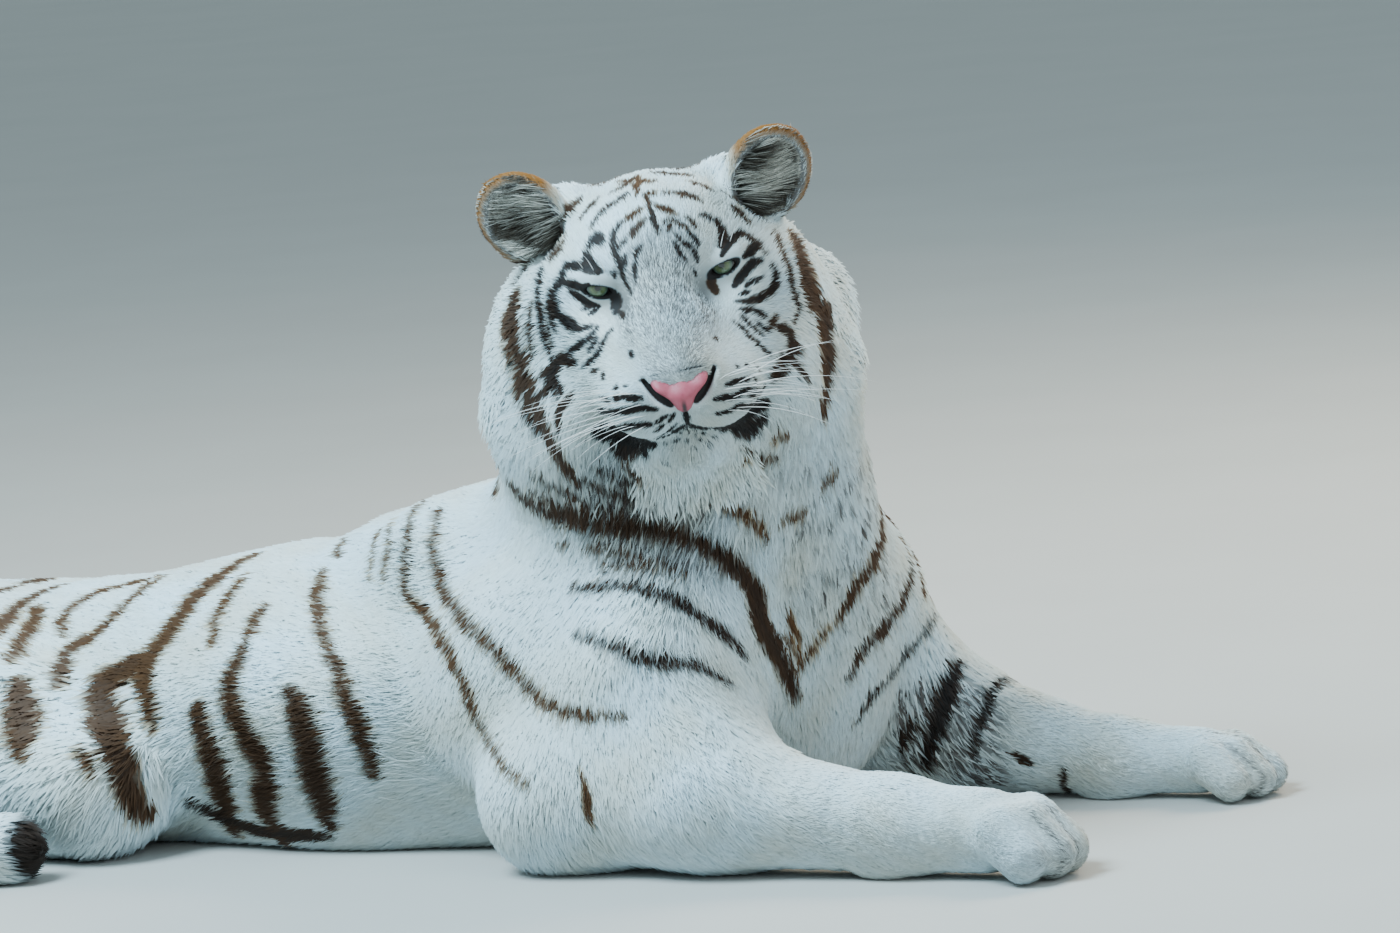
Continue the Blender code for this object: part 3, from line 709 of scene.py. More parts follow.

# %% [markdown]
# On the face the strokes are finer and blacker: a fan over the forehead, arcs round the eyes, bands down the
# cheeks to the ruff, and rows of whisker roots on the muzzle. The two sides are alike but not mirror images.
# A few strokes are painted shade, not marks: beside the chin and in the nostrils.

# %% Marks of the face
FACE = [
    (2, 0.7, [(-9, 79), (-6, 70), (-8, 65)]),
    (2, 0.5, [(0, 66), (2, 59), (1, 53)]),
    (1.8, 0.2, [(2, 58), (3, 50), (5, 43)]),
    (3, 0.7, [(3, 66), (9, 64)]),
    (2, 0.5, [(15, 66), (31, 63), (50, 59)]),
    (3, 0.4, [(39, 77), (50, 74), (61, 71)]),
    (2.5, 0.5, [(68, 73), (76, 71), (83, 72)]),
    (3.5, 0.6, [(7, 57), (15, 54), (24, 51)]),
    (1.5, 0.4, [(11, 49), (20, 48), (30, 45), (35, 42)]),
    (2, 0.4, [(32, 50), (37, 47), (40, 44)]),
    (2.6, 0.1, [(32, 43), (37, 40), (40, 36)]),
    (2.6, 0.1, [(30, 38), (34, 34), (36, 30)]),
    (2, 0.1, [(31, 27), (32, 24)]),
    (1.2, 0.2, [(20, 42), (26, 38), (30, 35)]),
    (1.8, 0.1, [(18, 39), (21, 34), (25, 31)]),
    (2, 0.3, [(12, 47), (16, 45), (15, 43)]),
    (3, 0.6, [(-4, 57), (-15, 54), (-24, 52)]),
    (3.4, 0.15, [(-22, 53), (-33, 49), (-36, 45), (-35, 38), (-34, 31), (-33, 28), (-29, 22)]),
    (2.8, 0.5, [(-3, 51), (-12, 48), (-19, 44)]),
    (1.2, 0.2, [(-23, 44), (-30, 42), (-32, 40)]),
    (1.6, 0.1, [(-11, 40), (-16, 38), (-19, 35)]),
    (2.2, 0.1, [(-27, 38), (-30, 35), (-32, 31)]),
    (1.6, 0.1, [(-19, 34), (-23, 30), (-23, 26)]),
    (2.5, 0.1, [(-42, 33), (-41, 30)]),
    (2.8, 0.4, [(-18, 66), (-32, 65), (-43, 62), (-54, 56)]),
    (3, 0.5, [(-41, 79), (-49, 73), (-57, 71), (-61, 67)]),
    (5, 0.5, [(-59, 89), (-70, 83), (-78, 75)]),
    (5, 0.3, [(-83, 75), (-81, 69), (-85, 67), (-94, 65)]),
    (8, 0.1, [(-55, 50), (-46, 46)]),
    (3.5, 0.1, [(-58, 49), (-60, 46)]),
    (5, 0.1, [(-64, 45), (-63, 40)]),
    (2.8, 0.1, [(-62, 41), (-58, 38), (-52, 34)]),
    (4.8, 0.1, [(-80, 43), (-71, 40), (-63, 37), (-55, 34)]),
    (1.6, 0.7, [(-50, 101), (-31, 95)]),
    (2.6, 0.6, [(-22, 84), (-8, 85), (-1, 80), (6, 75), (12, 78)]),
    (3.6, 0.2, [(46, 50), (52, 49), (59, 47), (64, 43), (63, 38), (60, 35)]),
    (3.4, 0.1, [(59, 31), (65, 35), (74, 40), (81, 44)]),
    (5, 0.4, [(75, 58), (82, 54), (87, 50)]),
    (3.5, 0.5, [(94, 71), (101, 67), (108, 59)]),
    (2.8, 0.3, [(80, 43), (88, 39), (93, 35), (98, 31)]),
    (5.5, 0.1, [(78, 30), (86, 33), (94, 37)]),
    (4.5, 0.3, [(108, 48), (111, 39), (114, 29), (116, 19), (115, 10), (116, -1), (117, -6), (111, -8)]),
    (5.2, 0.1, [(65, 17), (76, 22), (84, 26), (92, 27)]),
    (2, 0.1, [(75, 16), (82, 17), (90, 18)]),
    (2.4, 0.1, [(69, 13), (73, 13), (77, 14)]),
    (5, 0.15, [(101, 24), (103, 18), (99, 12), (91, 9)]),
    (4.6, 0.15, [(94, 10), (84, 9), (73, 9), (65, 10)]),
    (3.2, 0.1, [(66, 7), (73, 5)]),
    (4, 0.1, [(74, 6), (79, 4), (86, 1)]),
    (1.6, 0.1, [(66, 5), (70, 2), (75, -1), (82, -5)]),
    (2.6, 0.1, [(58, 4), (65, 1), (69, -2), (75, -5), (84, -11)]),
    (1.6, 0.1, [(77, 1), (82, -2), (88, -5)]),
    (3.4, 0.4, [(88, -4), (92, -2), (97, -1)]),
    (5, 0.3, [(94, -5), (102, -9)]),
    (18, 0.3, [(102, -9), (106, -15), (101, -16), (96, -16)]),
    (4, 0.4, [(96, -17), (88, -16), (81, -17)]),
    (5.5, 0.2, [(-104, 50), (-109, 41), (-112, 30), (-112, 20), (-113, 10), (-112, 0), (-107, -6)]),
    (1.6, 0.3, [(-106, 15), (-108, 8), (-106, 1)]),
    (5, 0.1, [(-101, 24), (-96, 31), (-90, 36), (-83, 44)]),
    (4.5, 0.1, [(-93, 37), (-82, 33), (-73, 29), (-66, 29)]),
    (4.5, 0.1, [(-96, 25), (-98, 20), (-95, 15)]),
    (6.5, 0.1, [(-96, 17), (-89, 13), (-81, 10)]),
    (2.4, 0.1, [(-82, 10), (-69, 11)]),
    (4.2, 0.1, [(-83, 29), (-76, 25), (-69, 21), (-61, 19)]),
    (1.5, 0.1, [(-77, 19), (-69, 19)]),
    (1.5, 0.1, [(-71, 16), (-62, 18)]),
    (4.2, 0.1, [(-65, 10), (-72, 7), (-81, 4), (-91, 1), (-99, -2)]),
    (19, 0.2, [(-101, -4), (-108, -8), (-111, -14), (-107, -16)]),
    (6, 0.2, [(-101, -4), (-88, -3)]),
    (2.5, 0.1, [(-66, 7), (-71, 4), (-77, 1)]),
    (3, 0.1, [(-55, 8), (-63, 4), (-71, 0), (-82, -4)]),
    (1.5, 0.2, [(-52, 9), (-59, 6), (-64, 3)]),
    (8, 0.05, [(-45, 24), (-43, 20), (-46, 15)]),
    (2.4, 0.2, [(-43, 15), (-39, 12)]),
    (2, 0.1, [(-40, 3), (-37, 2)]),
    (6, 0.4, [(47, 23), (44, 20), (47, 15)]),
    (2, 0.2, [(39, 3), (40, 2)]),
    (25, 0.5, [(-130, 42), (-138, 14), (-135, -11), (-132, -21), (-136, -33), (-125, -36)]),
    (4, 0.5, [(-6, 88), (-16, 80), (-30, 76)]),
    (8, 0.4, [(-62, 112), (-30, 104), (-6, 106)]),
    (8, 0.4, [(58, 108), (34, 103), (10, 106)]),
    (11, 0.4, [(-84, 134), (-44, 124), (-8, 128)]),
    (11, 0.4, [(80, 130), (40, 124), (6, 129)]),
    (13, 0.5, [(-96, 158), (-50, 146), (-6, 150)]),
    (13, 0.5, [(92, 154), (48, 146), (10, 151)]),
    (12, 0.5, [(-104, 178), (-60, 168), (-14, 170)]),
    (12, 0.5, [(104, 178), (58, 168), (16, 172)]),
    (5, 0.5, [(8, 92), (24, 88), (44, 86)]),
    (4, 0.2, [(-100, 34), (-104, 22), (-102, 10)]),
    (5, 0.4, [(-118, 30), (-124, 12), (-124, -6)]),
    (14, 0.5, [(-131, -20), (-122, -36), (-104, -48)]),
    (14, 0.6, [(132, -20), (128, -38), (116, -50)]),
    (5, 0.3, [(-96, -14), (-108, -22), (-112, -32)]),
    (5, 0.3, [(92, -14), (104, -20), (110, -30)]),
    (28, 0.6, [(124, 51), (127, 17), (129, -13), (135, -26), (128, -40)]),
]
CHEEKS_AND_THROAT = [
    (17, 0.2, [(8, -105, -62), (1, -113, -73), (0, -117, -84)]),
    (6, 0.3, [(-31, -140, -111), (-18, -134, -124), (0, -121, -132)]),
    (5, 0.3, [(-25, -134, -99), (4, -116, -88)]),
    (9, 0.4, [(-62, 138, -75), (-42, 135, -104), (-18, 125, -136)]),
    (8, 0.3, [(12, 101, -63), (13, 105, -75), (25, 101, -84)]),
    (4, 0.3, [(49, 81, -99), (34, 97, -98)]),
    (7, 0.5, [(-40, -145, -188), (-3, -110, -205), (15, -83, -217)]),
    (5, 0.4, [(-30, -142, -169), (-2, -112, -188), (22, -73, -205)]),
    (5, 0.4, [(0, -116, -161), (21, -85, -178), (32, -50, -199)]),
    (5, 0.3, [(30, -86, -156), (37, -59, -172), (38, -40, -190)]),
    (4, 0.8, [(37, 44, -181), (33, 58, -176), (26, 69, -176)]),
    (4, 0.8, [(36, 70, -156), (26, 83, -158)]),
    (4, 0.8, [(51, 35, -165), (45, 49, -163)]),
    (3, 0.8, [(39, 10, -199), (30, 33, -221), (21, 48, -241)]),
]
CROWN_AND_CHIN = [
    (5, 0.4, [(-78, -42, 60), (-68, -52, 55), (-62, -59, 51)]),
    (5, 0.2, [(-59, -12, 66), (-50, -27, 62), (-43, -42, 56), (-37, -52, 49)]),
    (8, 0.1, [(-18, -58, 35), (-23, -54, 41), (-18, -47, 42), (-13, -47, 38)]),
    (7, 0.1, [(-17, -62, 31), (-10, -60, 25), (-3, -55, 18)]),
    (7, 0.1, [(-22, -80, 20), (-13, -69, 20), (-4, -61, 17)]),
    (9, 0.5, [(-58, -78, 37), (-46, -85, 29), (-45, -94, 21)]),
    (3.5, 0.9, [(-100, -24, 64), (-92, -14, 66), (-86, -6, 67), (-78, 3, 67), (-69, 11, 66)]),
    (3, 0.9, [(-103, -4, 66), (-71, -4, 67), (-56, -7, 66)]),
    (3.5, 0.8, [(-50, 4, 65), (-49, 11, 64)]),
    (4, 0.3, [(-45, 18, 63), (-47, 30, 61), (-44, 39, 57), (-38, 49, 51)]),
    (5, 0.5, [(-74, 39, 61), (-73, 51, 56), (-65, 58, 51)]),
    (6, 0.5, [(-48, 76, 38), (-43, 81, 32), (-39, 87, 25)]),
    (5, 0.6, [(-28, 9, 58), (-23, 18, 55), (-20, 23, 52)]),
    (4, 0.8, [(-21, -22, 53), (-25, -14, 57), (-28, -5, 59)]),
    (5, 0.4, [(-13, -6, 50), (-10, -15, 47), (-7, -20, 43)]),
    (6, 0.2, [(-22, 47, 45), (-22, 55, 40), (-18, 62, 32), (-12, 62, 25), (-4, 59, 18)]),
    (3.5, 0.2, [(2, -15, 34), (6, -20, 26)]),
    (4, 0.2, [(-26, 1, 58), (-14, 3, 51), (-5, 5, 44)]),
    (5, 0.4, [(-47, 108, 5), (-35, 112, -7), (-28, 115, -22), (-19, 115, -39), (-16, 116, -57),
              (0, 109, -65)]),
    (7, 0.4, [(-79, -115, 11), (-85, -121, -2), (-84, -127, -11)]),
    # painted shade: the next two wide strokes darken the tiger's right side of the chin
    (14, 0.1, [(48, -75, -119), (54, -60, -126), (82, -42, -119)]),
    (12, 0.2, [(46, -70, -134), (50, -59, -141), (65, -44, -135)]),
    (8, 0.5, [(45, -61, -152), (46, -49, -164), (41, -44, -178)]),
    # painted shade: this wide stroke darkens the left side of the chin
    (14, 0.1, [(82, 38, -122), (55, 52, -139), (46, 67, -133)]),
    (5, 0.4, [(63, 40, -147), (40, 53, -168), (23, 72, -179)]),
    (2.6, 0, [(91, -24, -128), (92, -23, -130)]),
    (2.6, 0, [(96, -15, -126), (97, -14, -127)]),
    (2.6, 0, [(88, -23, -143), (85, -22, -147)]),
    (2.6, 0, [(99, -3, -111), (97, -2, -114)]),
    (2.6, 0, [(98, 5, -116), (97, 7, -117)]),
    (2.6, 0, [(97, 12, -121), (97, 14, -123)]),
    (2.6, 0, [(94, 21, -129), (92, 24, -132)]),
    (3, 0, [(99, -30, -114), (104, -20, -109), (110, -9, -102)]),
]
WHISKER_ROWS = [
    (2, 0.3, [(44, -76, -62), (51, -70, -59)]),
    (3, 0.2, [(57, -67, -61), (63, -67, -64)]),
    (3, 0.1, [(83, -59, -67), (86, -56, -66)]),
    (2, 0.1, [(92, -49, -64), (95, -47, -63)]),
    (3, 0.1, [(68, -72, -79), (85, -64, -77)]),
    (4.2, 0.1, [(89, -60, -74), (95, -56, -74)]),
    (3.8, 0.1, [(97, -53, -72), (106, -45, -72), (113, -37, -71)]),
    (4, 0.1, [(56, -76, -95), (91, -64, -87), (105, -52, -83), (114, -40, -80), (119, -26, -82)]),
    (4.4, 0.1, [(50, -77, -110), (66, -63, -108), (102, -53, -99), (112, -43, -96), (115, -34, -96)]),
    (2.2, 0.1, [(116, -29, -96), (118, -17, -90)]),
    (2.2, 0.1, [(111, -31, -105), (115, -22, -99)]),
    (2, 0.1, [(114, -17, -98), (118, -10, -89)]),
    (2.2, 0.1, [(90, 52, -66), (89, 54, -66)]),
    (2.2, 0.1, [(83, 61, -69), (81, 62, -70)]),
    (1.4, 0.2, [(72, 68, -72), (69, 72, -82)]),
    (2.6, 0.1, [(112, 40, -74), (102, 51, -75), (89, 63, -79)]),
    (1.8, 0.1, [(85, 65, -79), (83, 68, -86)]),
    (3.2, 0.1, [(119, 28, -83), (114, 41, -85), (105, 53, -88)]),
    (5.4, 0.1, [(109, 48, -86), (99, 59, -88), (60, 69, -105)]),
    (2.2, 0.1, [(64, 70, -100), (55, 74, -101)]),
    (3.4, 0.1, [(117, 28, -97), (113, 40, -98), (105, 51, -99), (49, 73, -118)]),
]
MUZZLE = [
    (22, 0.0, [(64, -76, -116), (76, -60, -124), (88, -38, -131)]),
    (26, 0.0, [(48, -84, -122), (62, -66, -137), (76, -46, -142)]),
    (24, 0.0, [(98, 38, -126), (80, 54, -128), (66, 66, -124)]),
    (26, 0.1, [(86, 48, -137), (70, 66, -133), (56, 78, -126)]),
    (8, 0.0, [(110, -16, -120), (117, 0, -113), (110, 16, -120)]),
    (7.0, 0.0, [(130, 0, -88), (124, 0, -106)]),
    (7.0, 0.0, [(119, 0, -106), (110, -20, -118), (98, -34, -121)]),
    (7.0, 0.0, [(119, 0, -106), (110, 20, -118), (98, 34, -121)]),
    # painted shade: black strokes fill the slits of the nostrils
    (11, 0.0, [(126, -12, -80), (121, -21, -71), (108, -32, -57)]),
    (11, 0.0, [(126, 12, -80), (121, 21, -71), (108, 32, -57)]),
    (2.0, 0.0, [(122, 0, -50), (120, 14, -49), (112, 25, -52)]),
    (2.0, 0.0, [(122, 0, -50), (120, -14, -49), (112, -25, -52)]),
]
CHIN_DOTS = [(98, -8, -117), (99, 0, -118), (97, 6, -121), (96, -11, -123), (97, -3, -125), (95, 9, -126),
             (93, -17, -131), (94, 2, -131), (92, 15, -131)]
CHIN_DOT = 5.12
for width, warm, line in FACE:
    stroke(round_face, 1.35 * width + 3.6, warm, line)
for width, warm, line in CHEEKS_AND_THROAT:
    stroke(in_head_frame, 1.3 * width + 4, warm, line)
for width, warm, line in CROWN_AND_CHIN:
    stroke(in_head_frame, 1.2 * width + 2, warm, line)
for ahead, left, up in CHIN_DOTS:
    stroke(in_head_frame, CHIN_DOT, 0, [(ahead, left, up), (ahead, left, up - 2)])
for width, warm, line in WHISKER_ROWS:
    stroke(in_head_frame, 1.6 * width + 1.8, warm, line, blunt=0.6)
for width, warm, line in MUZZLE:
    stroke(in_head_frame, width, warm, line, blunt=0.5)
dabs = np.array(dabs)
print("all stripes have", len(dabs), "dabs")

# %% [markdown]
# To find the colour of a place, its nearest dab is looked up in a tree. Broad and fine dabs have a tree
# each, because inside a broad stripe the nearest dab may be a fine one that doesn't reach as far.

# %% Find the nearest dabs
FINE_DAB = 0.0042
dab_trees = []
for chosen in (np.flatnonzero(dabs[:, 3] > FINE_DAB), np.flatnonzero(dabs[:, 3] <= FINE_DAB)):
    found = KDTree(len(chosen))
    for number in chosen:
        found.insert(dabs[number, :3], number)
    found.balance()
    dab_trees.append(found)
    print("a tree of", len(chosen), "dabs")


def ripple(points, scale, seed):
    """A smooth random number between about -1 and 1 at each point, with waves about scale metres long."""
    random = np.random.default_rng(seed)
    total = np.zeros(len(points))
    for _ in range(5):
        wave = random.normal(size=3) * 2 * math.pi / scale * 0.6
        total += np.sin(points @ wave + random.uniform(0, 6.3))
    return total / 2.5


def smooth(low, high, value):
    """A soft step from 0 at low to 1 at high. Low may be the greater of the two."""
    t = np.clip((value - low) / (high - low), 0, 1)
    return t * t * (3 - 2 * t)


def stripes_at(points, local):
    """How much stripe there is at each point, from 0 to 1, and how brown it is. Its edges waver."""
    on_head = smooth(0.24, 0.17, np.linalg.norm(local - [-0.03, 0, -0.05], axis=1))
    amount = 0.0022 - 0.0016 * on_head
    waver = np.stack([ripple(points, 0.035, 11 + axis) for axis in range(3)], axis=1)
    moved = points + waver * amount[:, None]
    stripe, warm = np.zeros(len(points)), np.zeros(len(points))
    for found in dab_trees:
        nearest = [found.find(place) for place in moved]
        number = np.array([dab[1] for dab in nearest])
        reach = np.array([dab[2] for dab in nearest]) / dabs[number, 3]
        own = smooth(1.18, 0.86, reach)
        warm = np.where(own > stripe, np.clip(dabs[number, 4] + 0.35 * (reach - 0.6), 0, 1), warm)
        stripe = np.maximum(stripe, own)
    return stripe, warm

# %% [markdown]
# Between the stripes the coat isn't plain white. Dark-tipped hairs grey the bridge of the nose. The rest of
# this grey is painted shade: in the corners of the eyes, on the throat under the chin, on the chest below
# the head, on the inside of the left foreleg against the chest, lightly on the paws, and in the gaps between
# the toes, which are deep.

# %% Grey hairs and painted shade
TOES_AT = (-0.175, 0.213)
TOE_STEP = 0.0235


def grey_and_shade_at(points, local):
    """How grey the coat is at each point, from 0 to 1: grey hair on the bridge, painted shade elsewhere."""
    x, y, z = local.T
    bridge = smooth(0.046, 0.020, np.abs(y)) * smooth(-0.03, 0.02, x) * smooth(-0.075, -0.045, z)
    grey = 0.62 * bridge
    # painted shade in the inner corners of the eyes
    socket = np.exp(-(((np.abs(y) - 0.036) / 0.012) ** 2 + ((z + 0.018) / 0.022) ** 2)) * (x > -0.02)
    grey = np.maximum(grey, 0.8 * socket)
    # painted shade on the throat under the chin, deeper on the tiger's right side, in patches
    throat = smooth(0.135, 0.06, np.hypot(y * 0.9, z + 0.20))
    throat = throat * smooth(0.06, 0.02, x) * smooth(-0.12, -0.16, z)
    throat *= smooth(-0.16, -0.10, x) * (0.25 + 0.75 * smooth(0.04, -0.02, y))
    grey = np.maximum(grey, throat * (0.9 + 0.4 * ripple(points, 0.02, 3)))
    x, y, z = points.T
    # painted shade: the forepaws are greyed a little, in patches
    paws = smooth(0.42, 0.52, x) * (z < 0.1)
    grey = np.maximum(grey, 0.35 * paws * (0.6 + 0.4 * ripple(points, 0.04, 4)))
    # painted shade on the inside of the left foreleg, where it faces the chest
    inner = smooth(0.13, 0.17, x) * smooth(0.27, 0.24, x) * smooth(0.19, 0.165, y)
    grey = np.maximum(grey, 0.7 * inner * (y > 0.1) * (z < 0.12))
    # painted shade on the chest below the head, in patches
    ahead = np.degrees(np.arctan2(y, x + 0.02))
    front = smooth(-32, -18, ahead) * smooth(36, 16, ahead) * (x > 0)
    front *= smooth(0.15, 0.21, z) * smooth(0.40, 0.34, z)
    grey = np.maximum(grey, front * (0.25 + 0.32 * ripple(points, 0.028, 9)))
    # painted shade in the gaps between the toes, which are deep
    for middle in TOES_AT:
        gap = np.abs(((y - middle) / TOE_STEP + 0.5) % 1 - 0.5) * TOE_STEP
        on_toes = (x > 0.452) & (np.abs(y - middle) < 0.030) & (z < 0.066)
        grey = np.maximum(grey, 0.6 * smooth(0.0046, 0.0012, gap) * on_toes)
    return grey


print("the gaps between the toes are", 1000 * TOE_STEP, "mm apart")

# %% [markdown]
# The back of a tiger's ear is black with one white spot, which others see from behind. Its rim is edged with
# tan hair, and the inside of its cup is greyed as painted shade. The bare edges of the eyelids are black,
# as if lined with ink.

# %% Ears and lids


def mark_ears_and_lids(local, stripe, warm, grey, tan):
    """The marks that each ear and each eye add, on one side after the other."""
    x, y, z = local.T
    for side in (RIGHT, LEFT):
        middle, turn = ear_place(side)
        ear_x, ear_y, ear_z = ((local - middle) @ turn).T
        out = np.hypot(ear_y / 0.041, ear_z / 0.048)
        here = (out < 1.25) & (np.abs(ear_x) < 0.035) & (x < -0.05) & (np.abs(y) > 0.078) & (z > 0.015)
        back = here & (ear_x < 0.004)
        spot = smooth(0.020, 0.014, np.hypot(ear_y, ear_z - 0.012))
        black = 0.95 * (1 - spot) * smooth(0.004, -0.004, ear_x)
        stripe = np.where(back, np.maximum(stripe, black), stripe)
        warm = np.where(back, 0.35, warm)
        rim = here & (ear_x > -0.006) & (out > 0.84)
        beside = smooth(0.078, 0.092, np.abs(y))
        edge = smooth(0.80, 0.95, out) * beside * smooth(-0.030, -0.006, ear_z)
        tan = np.where(rim, edge, tan)
        stripe = np.where(rim, 0.9 * (1 - edge) * beside, stripe)
        warm = np.where(rim, 0.7, warm)
        # painted shade: the inside of the ear's cup is greyed
        grey = np.where(here & (ear_x > 0.0) & (out <= 0.84), 0.9, grey)
        middle = side * EYES_APART / 2
        across = (y - middle + side * 0.001) / 0.0160
        high = (z - side * (y - middle) * 0.27 + 0.0016) / 0.0074
        rim = smooth(1.14, 0.98, np.hypot(across, high)) * (x > -0.02)
        stripe, warm = np.maximum(stripe, rim), np.where(rim > 0.3, 0, warm)
    return stripe, warm, grey, tan


print("the ears lean outwards by", EAR_LEAN, "degrees")

# %% [markdown]
# The tail's dark bands go right round it, so they aren't strokes: they follow from how far along the tail a
# hair grows. The last band stands apart from that rhythm, and the tip is dark.

# %% Rings of the tail
RING_STEP = 0.078


def mark_tail(points, stripe, warm):
    """The stripe and its brownness at each point, with the rings of the tail put in place."""
    x, y, z = points.T
    middles = np.array(TAIL_SPOTS)
    chosen = np.flatnonzero((x < -0.5) & (z < 0.14) & ((y < -0.27) | (x < -0.98)))
    gap = np.linalg.norm(points[chosen, None] - middles[None], axis=2)
    nearest = gap.argmin(axis=1)
    on_tail = gap.min(axis=1) < 0.06
    ahead = unit(np.gradient(middles, axis=0))
    lengths = np.concatenate([[0], np.cumsum(np.linalg.norm(np.diff(middles, axis=0), axis=1))])
    along = lengths[nearest] + ((points[chosen] - middles[nearest]) * ahead[nearest]).sum(axis=1)
    along += 0.004 * ripple(points[chosen], 0.06, 8)
    end = lengths[-1]
    ring = smooth(0.52, 0.72, np.abs((along / RING_STEP) % 1 - 0.5) * 2) * (along < end - 0.075)
    last = smooth(end - 0.052, end - 0.044, along) * smooth(end - 0.008, end - 0.014, along)
    ring = np.maximum(np.maximum(ring, last), smooth(end + 0.012, end + 0.018, along))
    stripe[chosen] = np.where(on_tail, ring, stripe[chosen])
    warm[chosen] = np.where(on_tail, np.where(along > end - 0.06, 0.1, 0.35), warm[chosen])
    return stripe, warm


print("the tail has room for", int(tail_length / RING_STEP), "rings")

# %% [markdown]
# All marks meet in one function of a place, so that the hide and the tufts that grow on it agree. What lies
# between the stripes gets a trace of cream, in soft patches, because no coat is evenly white.

# %% Marking at any place


def markings(points):
    """Stripe, warmth, greyness and tan, each from 0 to 1, at each point of the body's frame."""
    local = to_head(points)
    stripe, warm = stripes_at(points, local)
    grey, tan = grey_and_shade_at(points, local), np.zeros(len(points))
    stripe, warm, grey, tan = mark_ears_and_lids(local, stripe, warm, grey, tan)
    stripe, warm = mark_tail(points, stripe, warm)
    cream = 0.18 + 0.16 * ripple(points, 0.12, 6) + 0.1 * ripple(points, 0.03, 7)
    warm = np.where(stripe > 0.02, warm, np.clip(cream, 0, 1))
    return np.clip(np.stack([stripe, warm, grey, tan], axis=1), 0, 1)


def tint(thing, colours):
    """Stores a marking for each corner: red is stripe, green warmth, blue greyness and alpha tan."""
    layer = thing.data.color_attributes.new("marking", "FLOAT_COLOR", "POINT")
    layer.data.foreach_set("color", np.asarray(colours, dtype=np.float32).ravel())


tint(skin, markings(spots))
print("the skin is marked")

# %% [markdown]
# Fur has a lie. On a tiger it runs back from the nose over the brow and cheeks, down the neck and shoulders,
# back along the trunk and down the legs to the toes. Each bone below pulls the hair near it its own way. The
# pulls fade within a few centimetres and are mixed, so that the lie turns slowly from one part to the next.

# %% The lie and the length of the coat
BONES = [
    # start, end, radius, the way the hair runs, its length in mm, and the piece of coat that it belongs to
    ((0.02, 0, 0.22), (-0.40, 0, 0.17), 0.16, (-1, 0, -0.15), 27, "trunk"),
    ((-0.40, 0, 0.17), (-0.95, -0.03, 0.12), 0.14, (-1, 0, -0.15), 26, "trunk"),
    ((0.08, 0, 0.24), (0.12, 0, 0.12), 0.13, (0.15, 0, -1), 40, "neck"),
    ((0.03, 0, 0.28), (0.07, -0.07, 0.42), 0.155, (-0.25, 0.05, -1), 42, "neck"),
    ((-0.05, -0.14, 0.20), (0.02, -0.16, 0.13), 0.09, (-0.55, -0.1, -1), 26, "foreleg"),
    ((0.03, -0.16, 0.13), (0.15, -0.195, 0.07), 0.085, (0.5, 0, -0.8), 23, "foreleg"),
    ((0.15, -0.195, 0.066), (0.34, -0.185, 0.045), 0.055, (1, 0, -0.25), 15, "foreleg"),
    ((0.34, -0.185, 0.045), (0.50, -0.175, 0.030), 0.04, (1, 0, -0.2), 8, "foreleg"),
    ((-0.05, 0.14, 0.20), (0.03, 0.16, 0.13), 0.09, (-0.55, 0.1, -1), 26, "foreleg"),
    ((0.03, 0.16, 0.13), (0.16, 0.20, 0.07), 0.085, (0.5, 0, -0.8), 23, "foreleg"),
    ((0.16, 0.205, 0.062), (0.355, 0.205, 0.038), 0.05, (1, 0, -0.25), 14, "foreleg"),
    ((0.355, 0.205, 0.036), (0.50, 0.213, 0.025), 0.035, (1, 0, -0.2), 8, "foreleg"),
    ((-0.86, -0.11, 0.115), (-0.57, -0.20, 0.075), 0.09, (-0.7, 0, -0.8), 26, "hindleg"),
    ((-0.550, -0.208, 0.060), (-0.92, -0.20, 0.040), 0.045, (-1, 0, -0.2), 16, "hindleg"),
    ((-0.92, -0.20, 0.036), (-0.66, -0.24, 0.024), 0.034, (1, 0, -0.2), 9, "hindleg"),
    ((-0.86, 0.04, 0.115), (-0.50, 0.19, 0.075), 0.09, (-0.7, 0, -0.8), 26, "hindleg"),
    ((-0.475, 0.205, 0.060), (-0.90, 0.20, 0.040), 0.045, (-1, 0, -0.2), 16, "hindleg"),
    ((-0.90, 0.20, 0.036), (-0.60, 0.265, 0.024), 0.034, (1, 0, -0.2), 9, "hindleg"),
]
for start, end, radius in zip(TAIL_SPOTS[3::3], TAIL_SPOTS[6::3], TAIL_RADII[3::3]):
    BONES.append((start, end, radius, np.subtract(end, start), 20, "tail"))
HEAD_BONES = [
    # these have no way of their own: on the head the hair runs back from the nose
    ((-0.09, 0, -0.01), (0.09, 0, -0.08), 0.085, 11, "face"),
    ((-0.10, -0.10, -0.09), (-0.095, -0.10, -0.150), 0.055, 42, "ruff"),
    ((-0.11, 0.09, -0.09), (-0.095, 0.09, -0.150), 0.055, 35, "ruff"),
]
for start, end, radius, long, name in HEAD_BONES:
    BONES.append((from_head(start), from_head(end), radius, (0, 0, 0), long, name))
FADE = 0.016
PARTS = ["face", "crown", "ruff", "neck", "foreleg", "trunk", "flank", "hindleg", "tail", "far_foreleg"]


